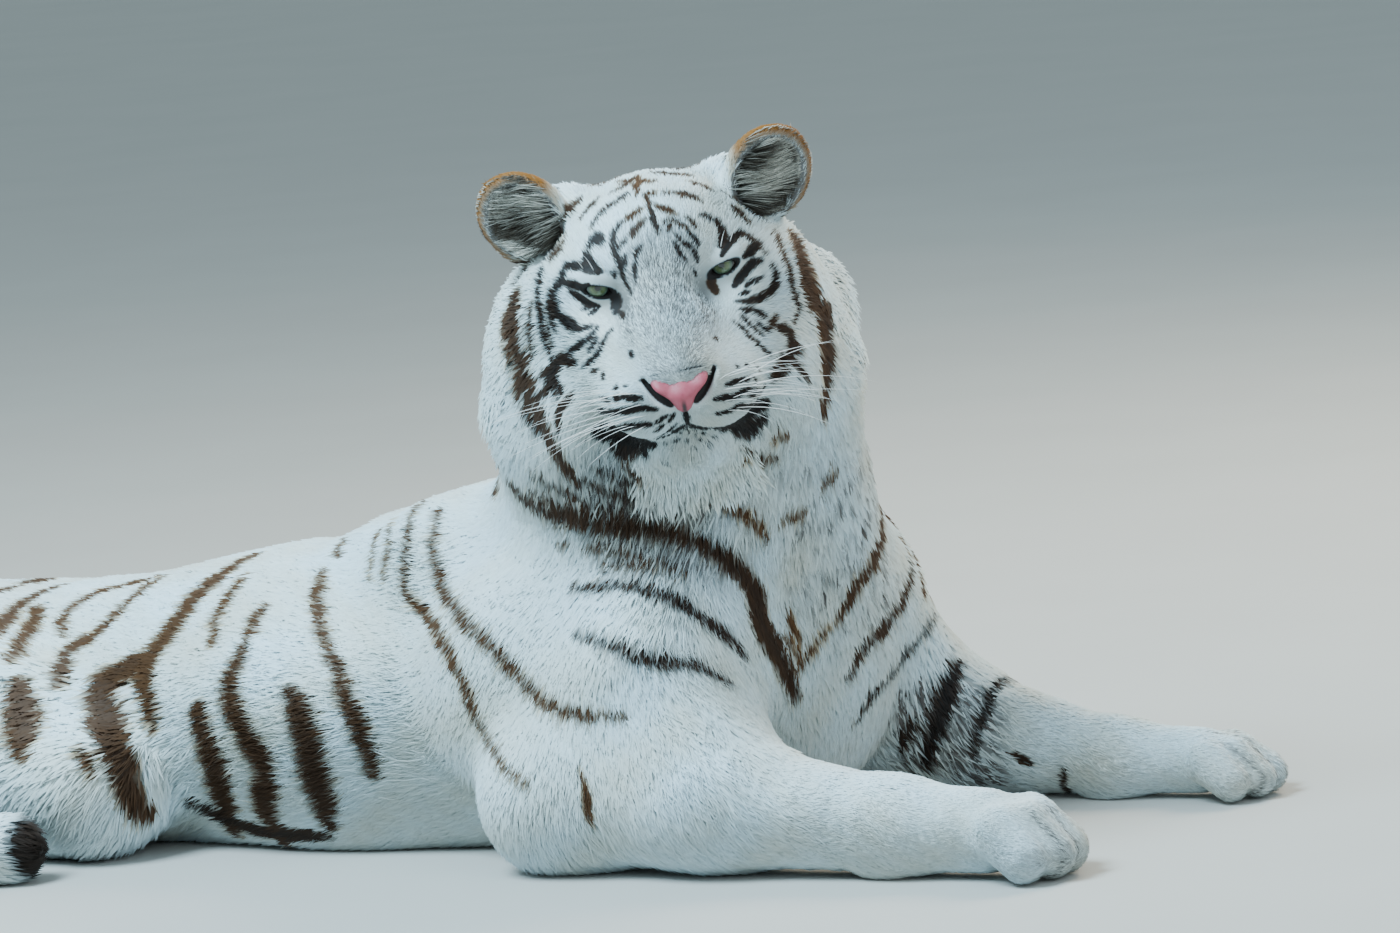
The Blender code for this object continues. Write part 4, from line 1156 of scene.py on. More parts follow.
def lie_of(points, normals):
    """The way the hair runs, its length in metres and the number of its part, at each point."""
    local = to_head(points)
    x, y, z = local.T
    back = unit(local - NOSE_TIP)
    fall = smooth(0.0, -0.09, x) * smooth(0.0, -0.06, z)
    back += fall[:, None] * np.array([-0.2, 0, -1.1])
    chin = smooth(-0.118, -0.135, z) * smooth(0.00, 0.05, x)
    hang = np.stack([np.full(len(y), 0.25), y * 8, np.full(len(y), -1.0)], axis=1)
    back = back * (1 - chin[:, None]) + chin[:, None] * hang
    for side in (RIGHT, LEFT):
        on_ear = smooth(0.060, 0.045, np.linalg.norm(local - [-0.090, side * 0.113, 0.056], axis=1))
        back = back * (1 - on_ear[:, None]) + on_ear[:, None] * np.array([-0.25, side * 0.6, 0.8])
    on_head = back @ HEAD_TURN.T
    total = np.zeros(len(points))
    lie, length = np.zeros_like(points), np.zeros(len(points))
    best, part = np.full(len(points), -1.0), np.zeros(len(points), dtype=int)
    for start, end, radius, way, long, name in BONES:
        start, run = np.array(start), np.subtract(end, start)
        along = np.clip((points - start) @ run / (run @ run), 0, 1)
        gap = np.linalg.norm(points - start - along[:, None] * run, axis=1) - radius
        pull = np.exp(-np.clip(gap, -0.1, 0.6) / FADE)
        way = np.asarray(way, dtype=float)
        ways = on_head if name in ("face", "ruff") else way / np.linalg.norm(way)
        lie += pull[:, None] * ways
        length += pull * long
        total += pull
        part = np.where(pull > best, PARTS.index(name), part)
        best = np.maximum(best, pull)
    length /= total * 1000
    from_nose = np.linalg.norm(local - NOSE_TIP, axis=1)
    short = 0.0035 + 0.045 * np.clip(from_nose - 0.02, 0, 0.3)
    short = np.where((z > -0.02) & (x < -0.03), 0.014, short)
    short = np.maximum(short, 0.020 * chin)
    face = part == PARTS.index("face")
    length = np.where(face, np.minimum(length, short), length)
    ears = (np.abs(y) > 0.085) & (z > 0.02) & (x < -0.05)
    length = np.where(ears & face, 0.008, length)
    eyes = np.hypot(np.abs(y) - EYES_APART / 2, z)
    length = np.where(face, np.minimum(length, 0.0025 + 0.35 * np.maximum(eyes - 0.010, 0)), length)
    part = np.where(face & ((x < -0.035) | ears), PARTS.index("crown"), part)
    part = np.where((z < -0.120) & face & (x < 0.02), PARTS.index("ruff"), part)
    on_left = points[:, 1] > 0.0
    part = np.where((part == PARTS.index("trunk")) & on_left, PARTS.index("flank"), part)
    part = np.where((part == PARTS.index("foreleg")) & on_left, PARTS.index("far_foreleg"), part)
    waves = np.stack([ripple(points, 0.05, 21 + axis) for axis in range(3)], axis=1)
    lie = unit(lie) + 0.16 * waves
    lie -= (lie * normals).sum(axis=1, keepdims=True) * normals
    return unit(lie), length, part


lie, length, part = lie_of(spots, normals)
depth = np.clip(-whole_body(spots, bare=False), 0.0005, 0.025)
for number, name in enumerate(PARTS):
    here = part == number
    long, deep = 1000 * length[here].mean(), 1000 * depth[here].mean()
    print(f"{name}: {here.sum()} corners, hair {long:.0f} mm, {deep:.0f} deep")

# %% [markdown]
# A tuft is a lock of hairs that cling together: a thin spindle that leaves the skin, bends over and lies
# along it. A short tuft needs four triangles, a longer lock twelve. Roots are scattered evenly over the
# skin, more of them where the hair is short and fine.

# %% Roots
SHAPES = {
    # for each corner: how far along the tuft, to which side, and how far above its spine; then the triangles
    "blade": (
        [(0, -0.5, 0), (0, 0.5, 0), (0.45, 0, 0.35), (1, 0, 0)],
        [(2, 1, 0), (2, 3, 1), (2, 0, 3), (1, 3, 0)],
    ),
    "lock": (
        [(0, 0, 0), (0.3, -0.45, 0), (0.3, 0.45, 0), (0.3, 0, 0.4),
         (0.68, -0.4, 0), (0.68, 0.4, 0), (0.68, 0, 0.35), (1, 0, 0)],
        [(2, 1, 0), (3, 2, 0), (1, 3, 0), (5, 4, 1), (2, 5, 1), (6, 5, 2), (3, 6, 2), (4, 6, 3), (1, 4, 3),
         (4, 5, 7), (5, 6, 7), (6, 4, 7)],
    ),
}


def scatter(chosen, count, fineness, seed):
    """Roots on the chosen triangles: which triangle each is on, and its corners' shares."""
    random = np.random.default_rng(seed)
    a, b, c = (spots[triangles[chosen, i]] for i in range(3))
    weight = np.linalg.norm(np.cross(b - a, c - a), axis=1) * fineness
    edges = np.cumsum(weight)
    picks = (np.arange(count) + random.random(count)) / count * edges[-1]
    on = chosen[np.minimum(np.searchsorted(edges, picks), len(chosen) - 1)]
    u, v = random.random((2, count))
    fold = u + v > 1
    u, v = np.where(fold, 1 - u, u), np.where(fold, 1 - v, v)
    return on, np.stack([1 - u - v, u, v], axis=1)


def mixed(values, on, shares):
    """The skin's values at the roots."""
    return np.einsum("ij,ijk->ik", shares, values[triangles[on]])


def comb(on, shares, slim, scale, lift, spread, random, way_of):
    """Each tuft's root, normal, way, side, length, height and width, and which tufts clear the floor."""
    count = len(on)
    root = mixed(spots, on, shares)
    normal = unit(mixed(normals, on, shares))
    way = way_of(root, normal) if way_of else mixed(lie, on, shares)
    side = np.cross(normal, way)
    way = unit(way + side * random.normal(size=(count, 1)) * spread)
    side = unit(np.cross(normal, way))
    own = mixed(np.stack([length, depth], axis=1), on, shares)
    long = own[:, 0] * scale * random.uniform(0.7, 1.25, count)
    high = own[:, 1] * lift * random.uniform(0.55, 1.05, count)
    high = np.minimum(high, long * 0.6)
    wide = long * slim * random.uniform(0.75, 1.3, count)
    keep = root[:, 2] > 0.003
    return [values[keep] for values in (root, normal, way, side, long, high, wide)], keep


print("tufts have", [len(faces) for _, faces in SHAPES.values()], "triangles")

# %% [markdown]
# A piece of coat is one mesh of many thousand tufts, so it is filled straight from arrays: operators would
# take minutes. Two numbers go with each corner for the material to read: how far along its tuft it is, and a
# number that is the tuft's own. Each corner's normal is mostly the skin's, so that a field of tufts takes
# the light as one soft surface.

# %% Tufts
PATCH = 0.003
ROOTED = 0.0008
cad_low, cad_high = (np.array(corner) for corner in cad_box)
coat_pieces = []


def store(mesh, name, values):
    """Keeps a number for each corner of a mesh."""
    layer = mesh.attributes.new(name, "FLOAT", "POINT")
    layer.data.foreach_set("value", np.asarray(values, dtype=np.float32))


def grown(name, body, corners):
    """A new piece in the scene, made of smooth triangles."""
    mesh = bpy.data.meshes.new(name)
    mesh.vertices.add(len(body))
    mesh.vertices.foreach_set("co", body.ravel())
    mesh.loops.add(corners.size)
    mesh.loops.foreach_set("vertex_index", corners.ravel().astype(np.int32))
    mesh.polygons.add(len(corners))
    mesh.polygons.foreach_set("loop_start", np.arange(0, corners.size, 3, dtype=np.int32))
    mesh.polygons.foreach_set("use_smooth", np.ones(len(corners), dtype=bool))
    mesh.update(calc_edges=True)
    thing = bpy.data.objects.new(name, mesh)
    bpy.context.scene.collection.objects.link(thing)
    return thing


def furnish(name, shape, on, shares, slim, scale=1.0, lift=1.0, spread=0.22, seed=0, way_of=None):
    """A piece of coat, with one tuft at each root."""
    random = np.random.default_rng(seed + 100)
    tufts, keep = comb(on, shares, slim, scale, lift, spread, random, way_of)
    root, normal, way, side, long, high, wide = tufts
    on, shares, count = on[keep], shares[keep], len(root)
    along, across, above = np.array(SHAPES[shape][0]).T
    # a tuft rises steeply from its root and levels off towards its tip
    rise = np.sin(np.minimum(along, 0.9) * 1.9) * 0.98
    body = root[:, None] - normal[:, None] * ROOTED
    body = body + way[:, None] * (along * long[:, None])[..., None]
    body = body + normal[:, None] * (rise * high[:, None])[..., None]
    body = body + side[:, None] * (across * wide[:, None])[..., None]
    body = body + normal[:, None] * (above * wide[:, None])[..., None]
    body[..., 2] = np.maximum(body[..., 2], 0.0006)
    body = np.clip(body.reshape(-1, 3) + SHIFT, cad_low, cad_high)
    corners = np.array(SHAPES[shape][1]) + len(along) * np.arange(count)[:, None, None]
    corners = corners.reshape(-1, 3)
    thing = grown(name, body, corners)
    # a tuft takes its marks from the places that its middle and upper parts cover, give or take a little
    jitter = random.normal(size=(count, 3)) * 0.0008
    covers = np.clip(along, 0.42, 0.78)
    marks = {at: markings(root + jitter + way * (long * at)[:, None]) for at in np.unique(covers)}
    shades = np.stack([marks[at] for at in covers], axis=1)
    shades[..., 2] *= 2.1 * random.random((count, 1)) ** 1.4
    tint(thing, np.clip(shades, 0, 1))
    store(thing.data, "along", np.tile(along, count))
    store(thing.data, "strand", np.repeat(random.random(count), len(along)))
    centre = np.einsum("ij,ijk->ik", shares, places[on])
    patch = np.stack([across + 0.3 * above, along - 0.5], axis=1) * PATCH
    flat = np.clip(centre[:, None] + patch, 0, 1).reshape(-1, 2)
    cover = thing.data.uv_layers.new(name="OFBake")
    cover.uv.foreach_set("vector", flat[corners.ravel()].ravel().astype(np.float32))
    facing = normal[:, None] + side[:, None] * (across * 1.1)[:, None]
    facing = facing + way[:, None] * (along * 0.25)[:, None]
    thing.data.normals_split_custom_set_from_vertices(unit(facing.reshape(-1, 3)))
    coat_pieces.append(thing)
    return thing

# %% [markdown]
# The coat is grown in ten pieces and a beard, each with tufts of its own kind: short and close on the face,
# long and open on the ruff. The left flank, the left foreleg and the hind legs are further from the eye, so
# they get fewer and broader tufts.

# %% The coat
middles = spots[triangles].mean(axis=1)
part_of = part[triangles[:, 0]]
length_of = length[triangles].mean(axis=1)
shown = middles[:, 2] > 0.002
PLAN = [
    # part, shape, number of tufts, width for length, length, lift
    ("face", "blade", 47000, 0.13, 1.0, 1.0),
    ("crown", "blade", 38000, 0.14, 0.85, 1.7),
    ("ruff", "lock", 16300, 0.07, 1.0, 1.0),
    ("neck", "blade", 49000, 0.085, 0.62, 1.0),
    ("foreleg", "blade", 49000, 0.095, 1.0, 0.9),
    ("far_foreleg", "blade", 16000, 0.13, 1.0, 0.9),
    ("trunk", "blade", 49000, 0.085, 0.88, 1.0),
    ("flank", "blade", 26000, 0.10, 1.0, 1.0),
    ("hindleg", "blade", 24000, 0.12, 1.0, 1.0),
    ("tail", "blade", 11000, 0.13, 1.0, 1.0),
]
for number, (name, shape, count, slim, scale, lift) in enumerate(PLAN):
    chosen = np.flatnonzero((part_of == PARTS.index(name)) & shown)
    fineness = 1 / np.maximum(length_of[chosen], 0.004)
    on, shares = scatter(chosen, count, fineness, number)
    piece = furnish("coat_" + name, shape, on, shares, slim, scale, lift, seed=number)
    print(piece.name, "has", len(piece.data.polygons), "triangles")

# %% [markdown]
# Under the chin the hair is a short beard. It hangs, whatever way the skin faces, so it gets a way of its
# own and stands further off the skin than the hair around it.

# %% Beard


def hanging(root, normal):
    """Down and a little outwards, but not into the skin."""
    sideways = to_head(root)[:, 1:2] * 9
    down = np.array([[0.35, 0, -1.0]]) @ HEAD_TURN.T + sideways * HEAD_TURN[:, 1]
    return unit(down - 0.6 * (down * normal).sum(axis=1, keepdims=True) * normal)


x, y, z = to_head(middles).T
chosen = np.flatnonzero((x > 0.035) & (np.abs(y) < 0.05) & (z < -0.123) & (z > -0.185))
on, shares = scatter(chosen, 1900, np.ones(len(chosen)), 77)
piece = furnish("coat_chin", "lock", on, shares, 0.085, 0.62, 1.2, spread=0.3, seed=77, way_of=hanging)
print(piece.name, "has", len(piece.data.polygons), "triangles")

# %% [markdown]
# Some hair doesn't lie flat. A cat's whiskers stand in four rows on each side of the muzzle, each as stiff
# as a bristle and as long as a finger, and a few short ones stand over each eye. Each is a thin tapered tube
# with a slight bend.

# %% Whiskers


def bristles(name, roots, tips, sag, thick, seed, sides, steps, light=None):
    """Thin tapered hairs from roots to tips, each bent by its sag."""
    work = bmesh.new()
    random = np.random.default_rng(seed)
    for root, tip, drop in zip(roots, tips, sag):
        run = Vector(tip) - Vector(root)
        across = run.orthogonal().normalized()
        up = run.cross(across).normalized()
        rings = []
        radius = thick * random.uniform(0.8, 1.2)
        for t in np.linspace(0, 1, steps)[:-1]:
            middle = Vector(root) + run * t + Vector(drop) * (4 * t * (1 - 0.5 * t) - 2 * t)
            size = radius * (1 - 0.85 * t)
            turns = [2 * math.pi * k / sides for k in range(sides)]
            edge = [middle + (across * math.cos(a) + up * math.sin(a)) * size for a in turns]
            rings.append([work.verts.new(spot) for spot in edge])
        end = work.verts.new(tip)
        for low, high in zip(rings, rings[1:]):
            for k in range(sides):
                work.faces.new([low[k], low[(k + 1) % sides], high[(k + 1) % sides], high[k]])
        for k in range(sides):
            work.faces.new([rings[-1][k], rings[-1][(k + 1) % sides], end])
        work.faces.new(list(reversed(rings[0])))
    bmesh.ops.recalc_face_normals(work, faces=work.faces)
    mesh = bpy.data.meshes.new(name)
    work.to_mesh(mesh)
    work.free()
    for face in mesh.polygons:
        face.use_smooth = True
    thing = bpy.data.objects.new(name, mesh)
    bpy.context.scene.collection.objects.link(thing)
    own = random.random(len(roots)) if light is None else light
    run = np.append(np.repeat(np.linspace(0, 1, steps)[:-1], sides), 1)
    store(mesh, "strand", np.repeat(own, len(run)))
    store(mesh, "along", np.tile(run, len(roots)))
    flat = np.clip(corners_of(mesh) + SHIFT, cad_low, cad_high)
    mesh.vertices.foreach_set("co", flat.ravel())
    return thing


random = np.random.default_rng(12)
roots, tips, sag = [], [], []
for side in (RIGHT, LEFT):
    for row, up in enumerate((-68, -77, -87, -97)):
        for place in range(6):
            left = 34 + 7.5 * place + 2 * (row % 2)
            middle, out, reach = in_head_frame(112 - 0.5 * (left - 30), side * left, up)
            hit = tree.ray_cast(Vector(middle + out * reach), Vector(-out), reach)[0]
            if hit is None:
                continue
            way = np.array([0.10 - 0.07 * place, side * (1.0 + 0.05 * place), -0.42 + 0.12 * (3 - row)])
            way += random.normal(size=3) * 0.10
            way = HEAD_TURN @ (way / np.linalg.norm(way))
            long = random.uniform(0.055, 0.12) * (0.8 + 0.06 * place)
            roots.append(np.array(hit) - way * 0.002)
            tips.append(np.array(hit) + way * long)
            sag.append(np.array([0, 0, random.uniform(0.006, 0.016)]))
    for place in range(3):
        root = from_head([0.002 - 0.006 * place, side * (0.050 + 0.009 * place), 0.017 + 0.001 * place])
        hit = tree.find_nearest(Vector(root))[0]
        way = HEAD_TURN @ np.array([0.45, side * (0.2 + 0.15 * place), 1.0])
        roots.append(np.array(hit))
        tips.append(np.array(hit) + way / np.linalg.norm(way) * random.uniform(0.014, 0.022))
        sag.append(np.array([0, 0, 0.003]))
whiskers = bristles("whiskers", roots, tips, sag, 0.00042, 3, sides=4, steps=8)
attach(whiskers, "root")
print("whiskers:", len(roots))

# %% [markdown]
# Long pale hairs fill each ear, lean up and outwards, and keep insects out. They stand in soft clumps and
# are cut short where they would reach past its rim. Towards the bottom of the ear they are painted darker,
# as shade.

# %% Ear hair
EAR_HAIRS = 1900
BOWL_Y, BOWL_Z = 0.036, 0.044
ear_pieces = []
for side, name in ((RIGHT, "ear_hair_right"), (LEFT, "ear_hair_left")):
    middle, lean = ear_place(side)
    roots, tips, sag, light, homes = [], [], [], [], []
    for _ in range(EAR_HAIRS):
        angle = random.uniform(0, 2 * math.pi)
        out = math.sqrt(random.uniform(0, 1))
        y, z = math.cos(angle) * BOWL_Y * out, math.sin(angle) * BOWL_Z * out
        hit = tree.find_nearest(Vector(from_head(lean @ np.array([0.002, y, z]) + middle)))
        rise = (z / BOWL_Z + 1) / 2
        clump = ripple(np.array([[side * y, z, 0.1 * side]]), 0.022, 31)[0]
        way = np.array([0.36, side * (0.85 - 0.45 * rise), 0.35 + 0.6 * rise + 0.3 * clump])
        way += random.normal(size=3) * 0.09
        way /= np.linalg.norm(way)
        long = random.uniform(0.018, 0.036)
        while long > 0.004 and math.hypot((y + way[1] * long) / 0.035, (z + way[2] * long) / 0.042) > 1:
            long *= 0.9
        way = HEAD_TURN @ lean @ way
        roots.append(np.array(hit[0]) - way * 0.001)
        tips.append(np.array(hit[0]) + way * long)
        sag.append(HEAD_TURN @ np.array([0.004, 0, 0.002]))
        homes.append(places[hit[2]].mean(axis=0))
        # each hair's own tone in soft clumps, and painted shade that darkens it towards the bottom of the
        # cup
        light.append(np.clip(0.34 + 0.35 * rise + 0.75 * clump + 0.22 * random.normal(), 0, 1))
    hair = bristles(name, roots, tips, sag, 0.00055, 5, sides=3, steps=4, light=light)
    # three corners in each of three rings, and the tip
    across = np.append(np.tile([0.5, -0.25, -0.25], 3), 0)
    along = np.append(np.repeat([0, 1 / 3, 2 / 3], 3), 1) - 0.5
    patch = PATCH * np.stack([across, along], axis=1)
    flat = np.clip(np.array(homes)[:, None] + patch, 0, 1).reshape(-1, 2)
    owner = np.empty(len(hair.data.loops), dtype=np.int32)
    hair.data.loops.foreach_get("vertex_index", owner)
    cover = hair.data.uv_layers.new(name="OFBake")
    cover.uv.foreach_set("vector", flat[owner].ravel().astype(np.float32))
    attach(hair, "root")
    ear_pieces.append(hair)
    print(name, "has", sum(len(face.vertices) - 2 for face in hair.data.polygons), "triangles")

# %% [markdown]
# A big cat's pupil is round. Its iris is a flecked muscle with a dark edge, under a clear, wet cornea
# that bulges out a little. A sphere is enough: a number at each corner, the distance to the pupil's middle,
# lets the material draw the rings. The eyes look a little above where the face points, and they turn a
# little towards each other.

# %% Eyes
GAZE = np.array([0.520, -0.838, -0.125])
TOE_IN = 0.09
BALL = EYE - 0.0002
eye_pieces = []
for side, node in ((RIGHT, "eye_right"), (LEFT, "eye_left")):
    bpy.ops.mesh.primitive_uv_sphere_add(segments=64, ring_count=48, radius=BALL)
    eyeball = bpy.context.active_object
    eyeball.name = node + "_ball"
    ways = unit(corners_of(eyeball.data))
    gaze = GAZE - side * TOE_IN * HEAD_TURN[:, 1]
    turn = np.arccos(np.clip(ways @ gaze / np.linalg.norm(gaze), -1, 1))
    bulge = 0.0011 * smooth(0.62, 0.10, turn)
    middle = from_head([-EYE, side * EYES_APART / 2, 0]) + SHIFT
    ball = ways * (BALL + bulge)[:, None] + middle
    eyeball.data.vertices.foreach_set("co", ball.ravel())
    store(eyeball.data, "from_pupil", turn * EYE * 1000)
    for face in eyeball.data.polygons:
        face.use_smooth = True
    eyeball.data.update()
    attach(eyeball, "root")
    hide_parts(node)
    eye_pieces.append(eyeball)
    print(eyeball.name, "has", sum(len(face.vertices) - 2 for face in eyeball.data.polygons), "triangles")

# %% [markdown]
# The nose is bare, damp skin, pink on a white tiger. It is a broad bar between the nostrils, with a short
# pillar below it that a groove divides. It is modelled in the same clay, on a grid five times as fine.

# %% Nose


def nose(points):
    """How far each point is from the nose leather."""
    clay = Clay(points)
    clay.in_head(True)
    clay.coat = 0.0004
    clay.blob((0.106, 0, -0.0620), (0.0275, 0.0230, 0.0100), (0, 22, 0), soft=0.006)
    for side in (RIGHT, LEFT):
        clay.blob((0.108, side * 0.0175, -0.0585), (0.020, 0.0105, 0.0068), (side * 16, 20, 0), soft=0.006)
    clay.blob((0.110, 0, -0.0760), (0.0215, 0.0112, 0.0150), soft=0.008)
    clay.coat = 0
    clay.rope([(0.1335, 0, -0.069), (0.1325, 0, -0.093)], [0.0007, 0.0018], soft=0.0025, sign=-1)
    for side in (RIGHT, LEFT):
        slit = [(0.127, 0.0150, -0.081), (0.124, 0.0215, -0.0725), (0.112, 0.031, -0.060)]
        slit = [(x, side * y, z) for x, y, z in slit]
        clay.rope(slit, [0.0055, 0.0058, 0.0030], soft=0.003, sign=-1)
    return clay.distance


centre, around = from_head([0.108, 0, -0.064]), 0.038
nose_piece = linked("nose_leather", *net_of(nose, centre - around, centre + around, FINE / 5))
settle(nose_piece, nose, rounds=1, step=0.0002)
for face in nose_piece.data.polygons:
    face.use_smooth = True
x, y, z = to_head(corners_of(nose_piece.data)).T
y = np.abs(y)
top = smooth(-0.0525, -0.0505, z - 0.0022 * smooth(0.004, 0.016, y))
wings = smooth(0.0245, 0.0275, y)
# painted shade darkens the groove that divides the pillar
groove = smooth(0.0030, 0.0008, y) * smooth(-0.070, -0.080, z)
foot = smooth(-0.0865, -0.0895, z)
store(nose_piece.data, "dark", np.max([top, wings, groove, foot], axis=0))
nose_piece.data.transform(Matrix.Translation(SHIFT))
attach(nose_piece, "root")
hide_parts("nose")
print("the nose has", 2 * len(nose_piece.data.polygons), "triangles")

# %% [markdown]
# The skin stands for all the solids of flesh at once, so that no seam shows where they meet. The tufts lie
# on it and replace nothing. All of them ride the one body there is: the animal doesn't move.

# %% Skin and coat take their places
skin.data.transform(Matrix.Translation(SHIFT))
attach(skin, "root")
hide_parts("trunk", "neck", "head", "tail", "ear_right", "ear_left", "foreleg_right", "foreleg_left",
            "forepaw_right", "forepaw_left", "hindleg_right", "hindleg_left")
for piece in coat_pieces:
    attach(piece, "root")
print(len(coat_pieces), "pieces of coat lie on the skin")

# %% [markdown]
# A material is a small network of nodes. One function adds a node with its settings and links, so that each
# material below reads as a list of what it is made of. Colours are given as sRGB hex codes, as on a paint
# card, and turned into the linear values that light is added in. A pattern is given by the size of one of
# its patches in millimetres, which sets its scale.

# %% Nodes


def colour(code):
    """A colour from its sRGB hex code, as linear values."""
    parts = [int(code[i:i + 2], 16) / 255 for i in (1, 3, 5)]
    return (*[c / 12.92 if c <= 0.04045 else ((c + 0.055) / 1.055) ** 2.4 for c in parts], 1)


def per_metre(size):
    """A pattern's scale from the size of one patch in millimetres: how many patches there are in a metre."""
    return 1000 / size


def add(material, kind, **settings):
    """A node of a kind. A setting is a property of the node, or a value or an output for an input."""
    made = material.node_tree.nodes.new(kind)
    for name, value in settings.items():
        if name.rstrip("0123456789") != "input" and hasattr(made, name):
            setattr(made, name, value)
            continue
        number = name[5:] if name.startswith("input") else None
        socket = made.inputs[int(number)] if number else made.inputs[name.replace("_", " ")]
        if isinstance(value, bpy.types.NodeSocket):
            material.node_tree.links.new(value, socket)
        else:
            socket.default_value = value
    return made


def blank(name, roughness):
    """A new material with only an output and a surface of some roughness, and that surface."""
    material = bpy.data.materials.new(name)
    material.use_nodes = True
    surface = material.node_tree.nodes["Principled BSDF"]
    surface.inputs["Roughness"].default_value = roughness
    return material, surface


def join(material, output, socket):
    """A link between two nodes."""
    material.node_tree.links.new(output, socket)


print("a mid grey is", round(colour("#808080")[0], 3), "in linear light")

# %% [markdown]
# A white tiger's hair is white to cream, with stripes from nearly black to brown, because its coat lacks the
# orange pigment but keeps the dark one. Hair is keratin that grew as a smooth thread and was licked clean:
# each one shines a little, but a field of them looks soft. A hair is darker near its root, where little
# light comes. Long hair shows deeper shade between its locks than short hair does, so the three kinds differ
# in how dark they start. The hide below them has the same marks, in shade.

# %% Tiger hair


def fur(name, shade, tip):
    """Striped hair: white to cream, greyish in places, greyed as painted shade in others, with stripes from
    warm brown to nearly black.
    """
    material, surface = blank(name, roughness=0.62)
    marks = add(material, "ShaderNodeAttribute", attribute_name="marking")
    bands = add(material, "ShaderNodeSeparateColor", Color=marks.outputs["Color"])
    stripe, warm, greyness_and_shade = bands.outputs
    strand = add(material, "ShaderNodeAttribute", attribute_name="strand").outputs["Fac"]
    along = add(material, "ShaderNodeAttribute", attribute_name="along").outputs["Fac"]
    white = add(material, "ShaderNodeMixRGB", Fac=warm, Color1=colour("#e2f6fd"), Color2=colour("#dccfae"))
    # greyish hair and painted shade both mix towards this dark grey
    grey = add(material, "ShaderNodeMixRGB", Fac=greyness_and_shade, Color1=white.outputs[0], Color2=colour("#625e5c"))
    dark = add(material, "ShaderNodeMixRGB", Fac=warm, Color1=colour("#150f0d"), Color2=colour("#5e3d1e"))
    coat = add(material, "ShaderNodeMixRGB", Fac=stripe, Color1=grey.outputs[0], Color2=dark.outputs[0])
    coat = add(material, "ShaderNodeMixRGB", Fac=marks.outputs["Alpha"], Color1=coat.outputs[0],
               Color2=colour("#8c5a1a"))
    own = add(material, "ShaderNodeMapRange", Value=strand, To_Min=0.90, To_Max=1.04)
    depth = add(material, "ShaderNodeMapRange", Value=along, From_Max=0.7, To_Min=shade, To_Max=tip)
    both = add(material, "ShaderNodeMath", operation="MULTIPLY", input0=own.outputs[0],
               input1=depth.outputs[0])
    final = add(material, "ShaderNodeMixRGB", blend_type="MULTIPLY", Fac=1.0, Color1=coat.outputs[0],
                Color2=both.outputs[0])
    join(material, final.outputs[0], surface.inputs["Base Color"])
    surface.inputs["Specular IOR Level"].default_value = 0.28
    surface.inputs["Sheen Weight"].default_value = 0.05
    return material


hairs = {"short": fur("short_tiger_hair", 0.76, 1.0), "body": fur("tiger_hair", 0.86, 1.0)}
hairs["long"] = fur("long_tiger_hair", 0.64, 1.03)
KINDS = {"face": "short", "crown": "short", "ruff": "long", "neck": "long", "chin": "long"}
for piece in coat_pieces:
    piece.data.materials.append(hairs[KINDS.get(piece.name.removeprefix("coat_"), "body")])
skin.data.materials.append(fur("tiger_hide", 0.75, 0.75))
print("tiger hair:", ", ".join(sorted(hairs)))

# %% [markdown]
# Ear hair has no stripes. It is thin and little light comes deep into the ear, so it starts out brown-grey
# at the root and is whiter the further out it stands.

# %% Ear hair's material
ear_hair, surface = blank("pale_ear_hair", roughness=0.6)
own = add(ear_hair, "ShaderNodeAttribute", attribute_name="strand").outputs["Fac"]
along = add(ear_hair, "ShaderNodeAttribute", attribute_name="along").outputs["Fac"]
# each hair's tone: its own, and darker towards the bottom of the cup, as painted shade
tone = add(ear_hair, "ShaderNodeMixRGB", Fac=own, Color1=colour("#4e483e"), Color2=colour("#f4f4e8"))
shadow = add(ear_hair, "ShaderNodeMixRGB", Fac=along, Color1=colour("#3e382e"), Color2=tone.outputs[0])
join(ear_hair, shadow.outputs[0], surface.inputs["Base Color"])
for piece in ear_pieces:
    piece.data.materials.append(ear_hair)
print(ear_hair.name, "is on", len(ear_pieces), "pieces")

# %% [markdown]
# A whisker is stiff white keratin, thick and smooth like fishing line, so it is glossier than the coat. Its
# white clouds over in patches about a centimetre long.

# %% Whisker keratin
CLOUD = 11.11
keratin, surface = blank("white_keratin", roughness=0.35)
place = add(keratin, "ShaderNodeTexCoord")
cloud = add(keratin, "ShaderNodeTexNoise", Vector=place.outputs["Object"], Scale=per_metre(CLOUD),
            Detail=2.0)
tone = add(keratin, "ShaderNodeMixRGB", Fac=cloud.outputs[0], Color1=colour("#e9e6df"),
           Color2=colour("#ffffff"))
join(keratin, tone.outputs[0], surface.inputs["Base Color"])
whiskers.data.materials.append(keratin)
print(keratin.name, "is on the whiskers")

# %% [markdown]
# The nose is hairless skin covered with pebbles about a millimetre wide, in a pattern that each animal has
# for itself, like a fingerprint. It is damp, so it shines softly. Its pink is uneven, and it is dark where
# it meets the hair. The groove down its pillar is darkened too, which is painted shade.

# %% Nose skin
BLOTCH, PEBBLE = 8.333, 1.111
leather, surface = blank("damp_nose_skin", roughness=0.5)
place = add(leather, "ShaderNodeTexCoord")
blotch = add(leather, "ShaderNodeTexNoise", Vector=place.outputs["Object"], Scale=per_metre(BLOTCH),
             Detail=3.0)
tone = add(leather, "ShaderNodeMixRGB", Fac=blotch.outputs[0], Color1=colour("#9a3c4c"),
           Color2=colour("#bd606e"))
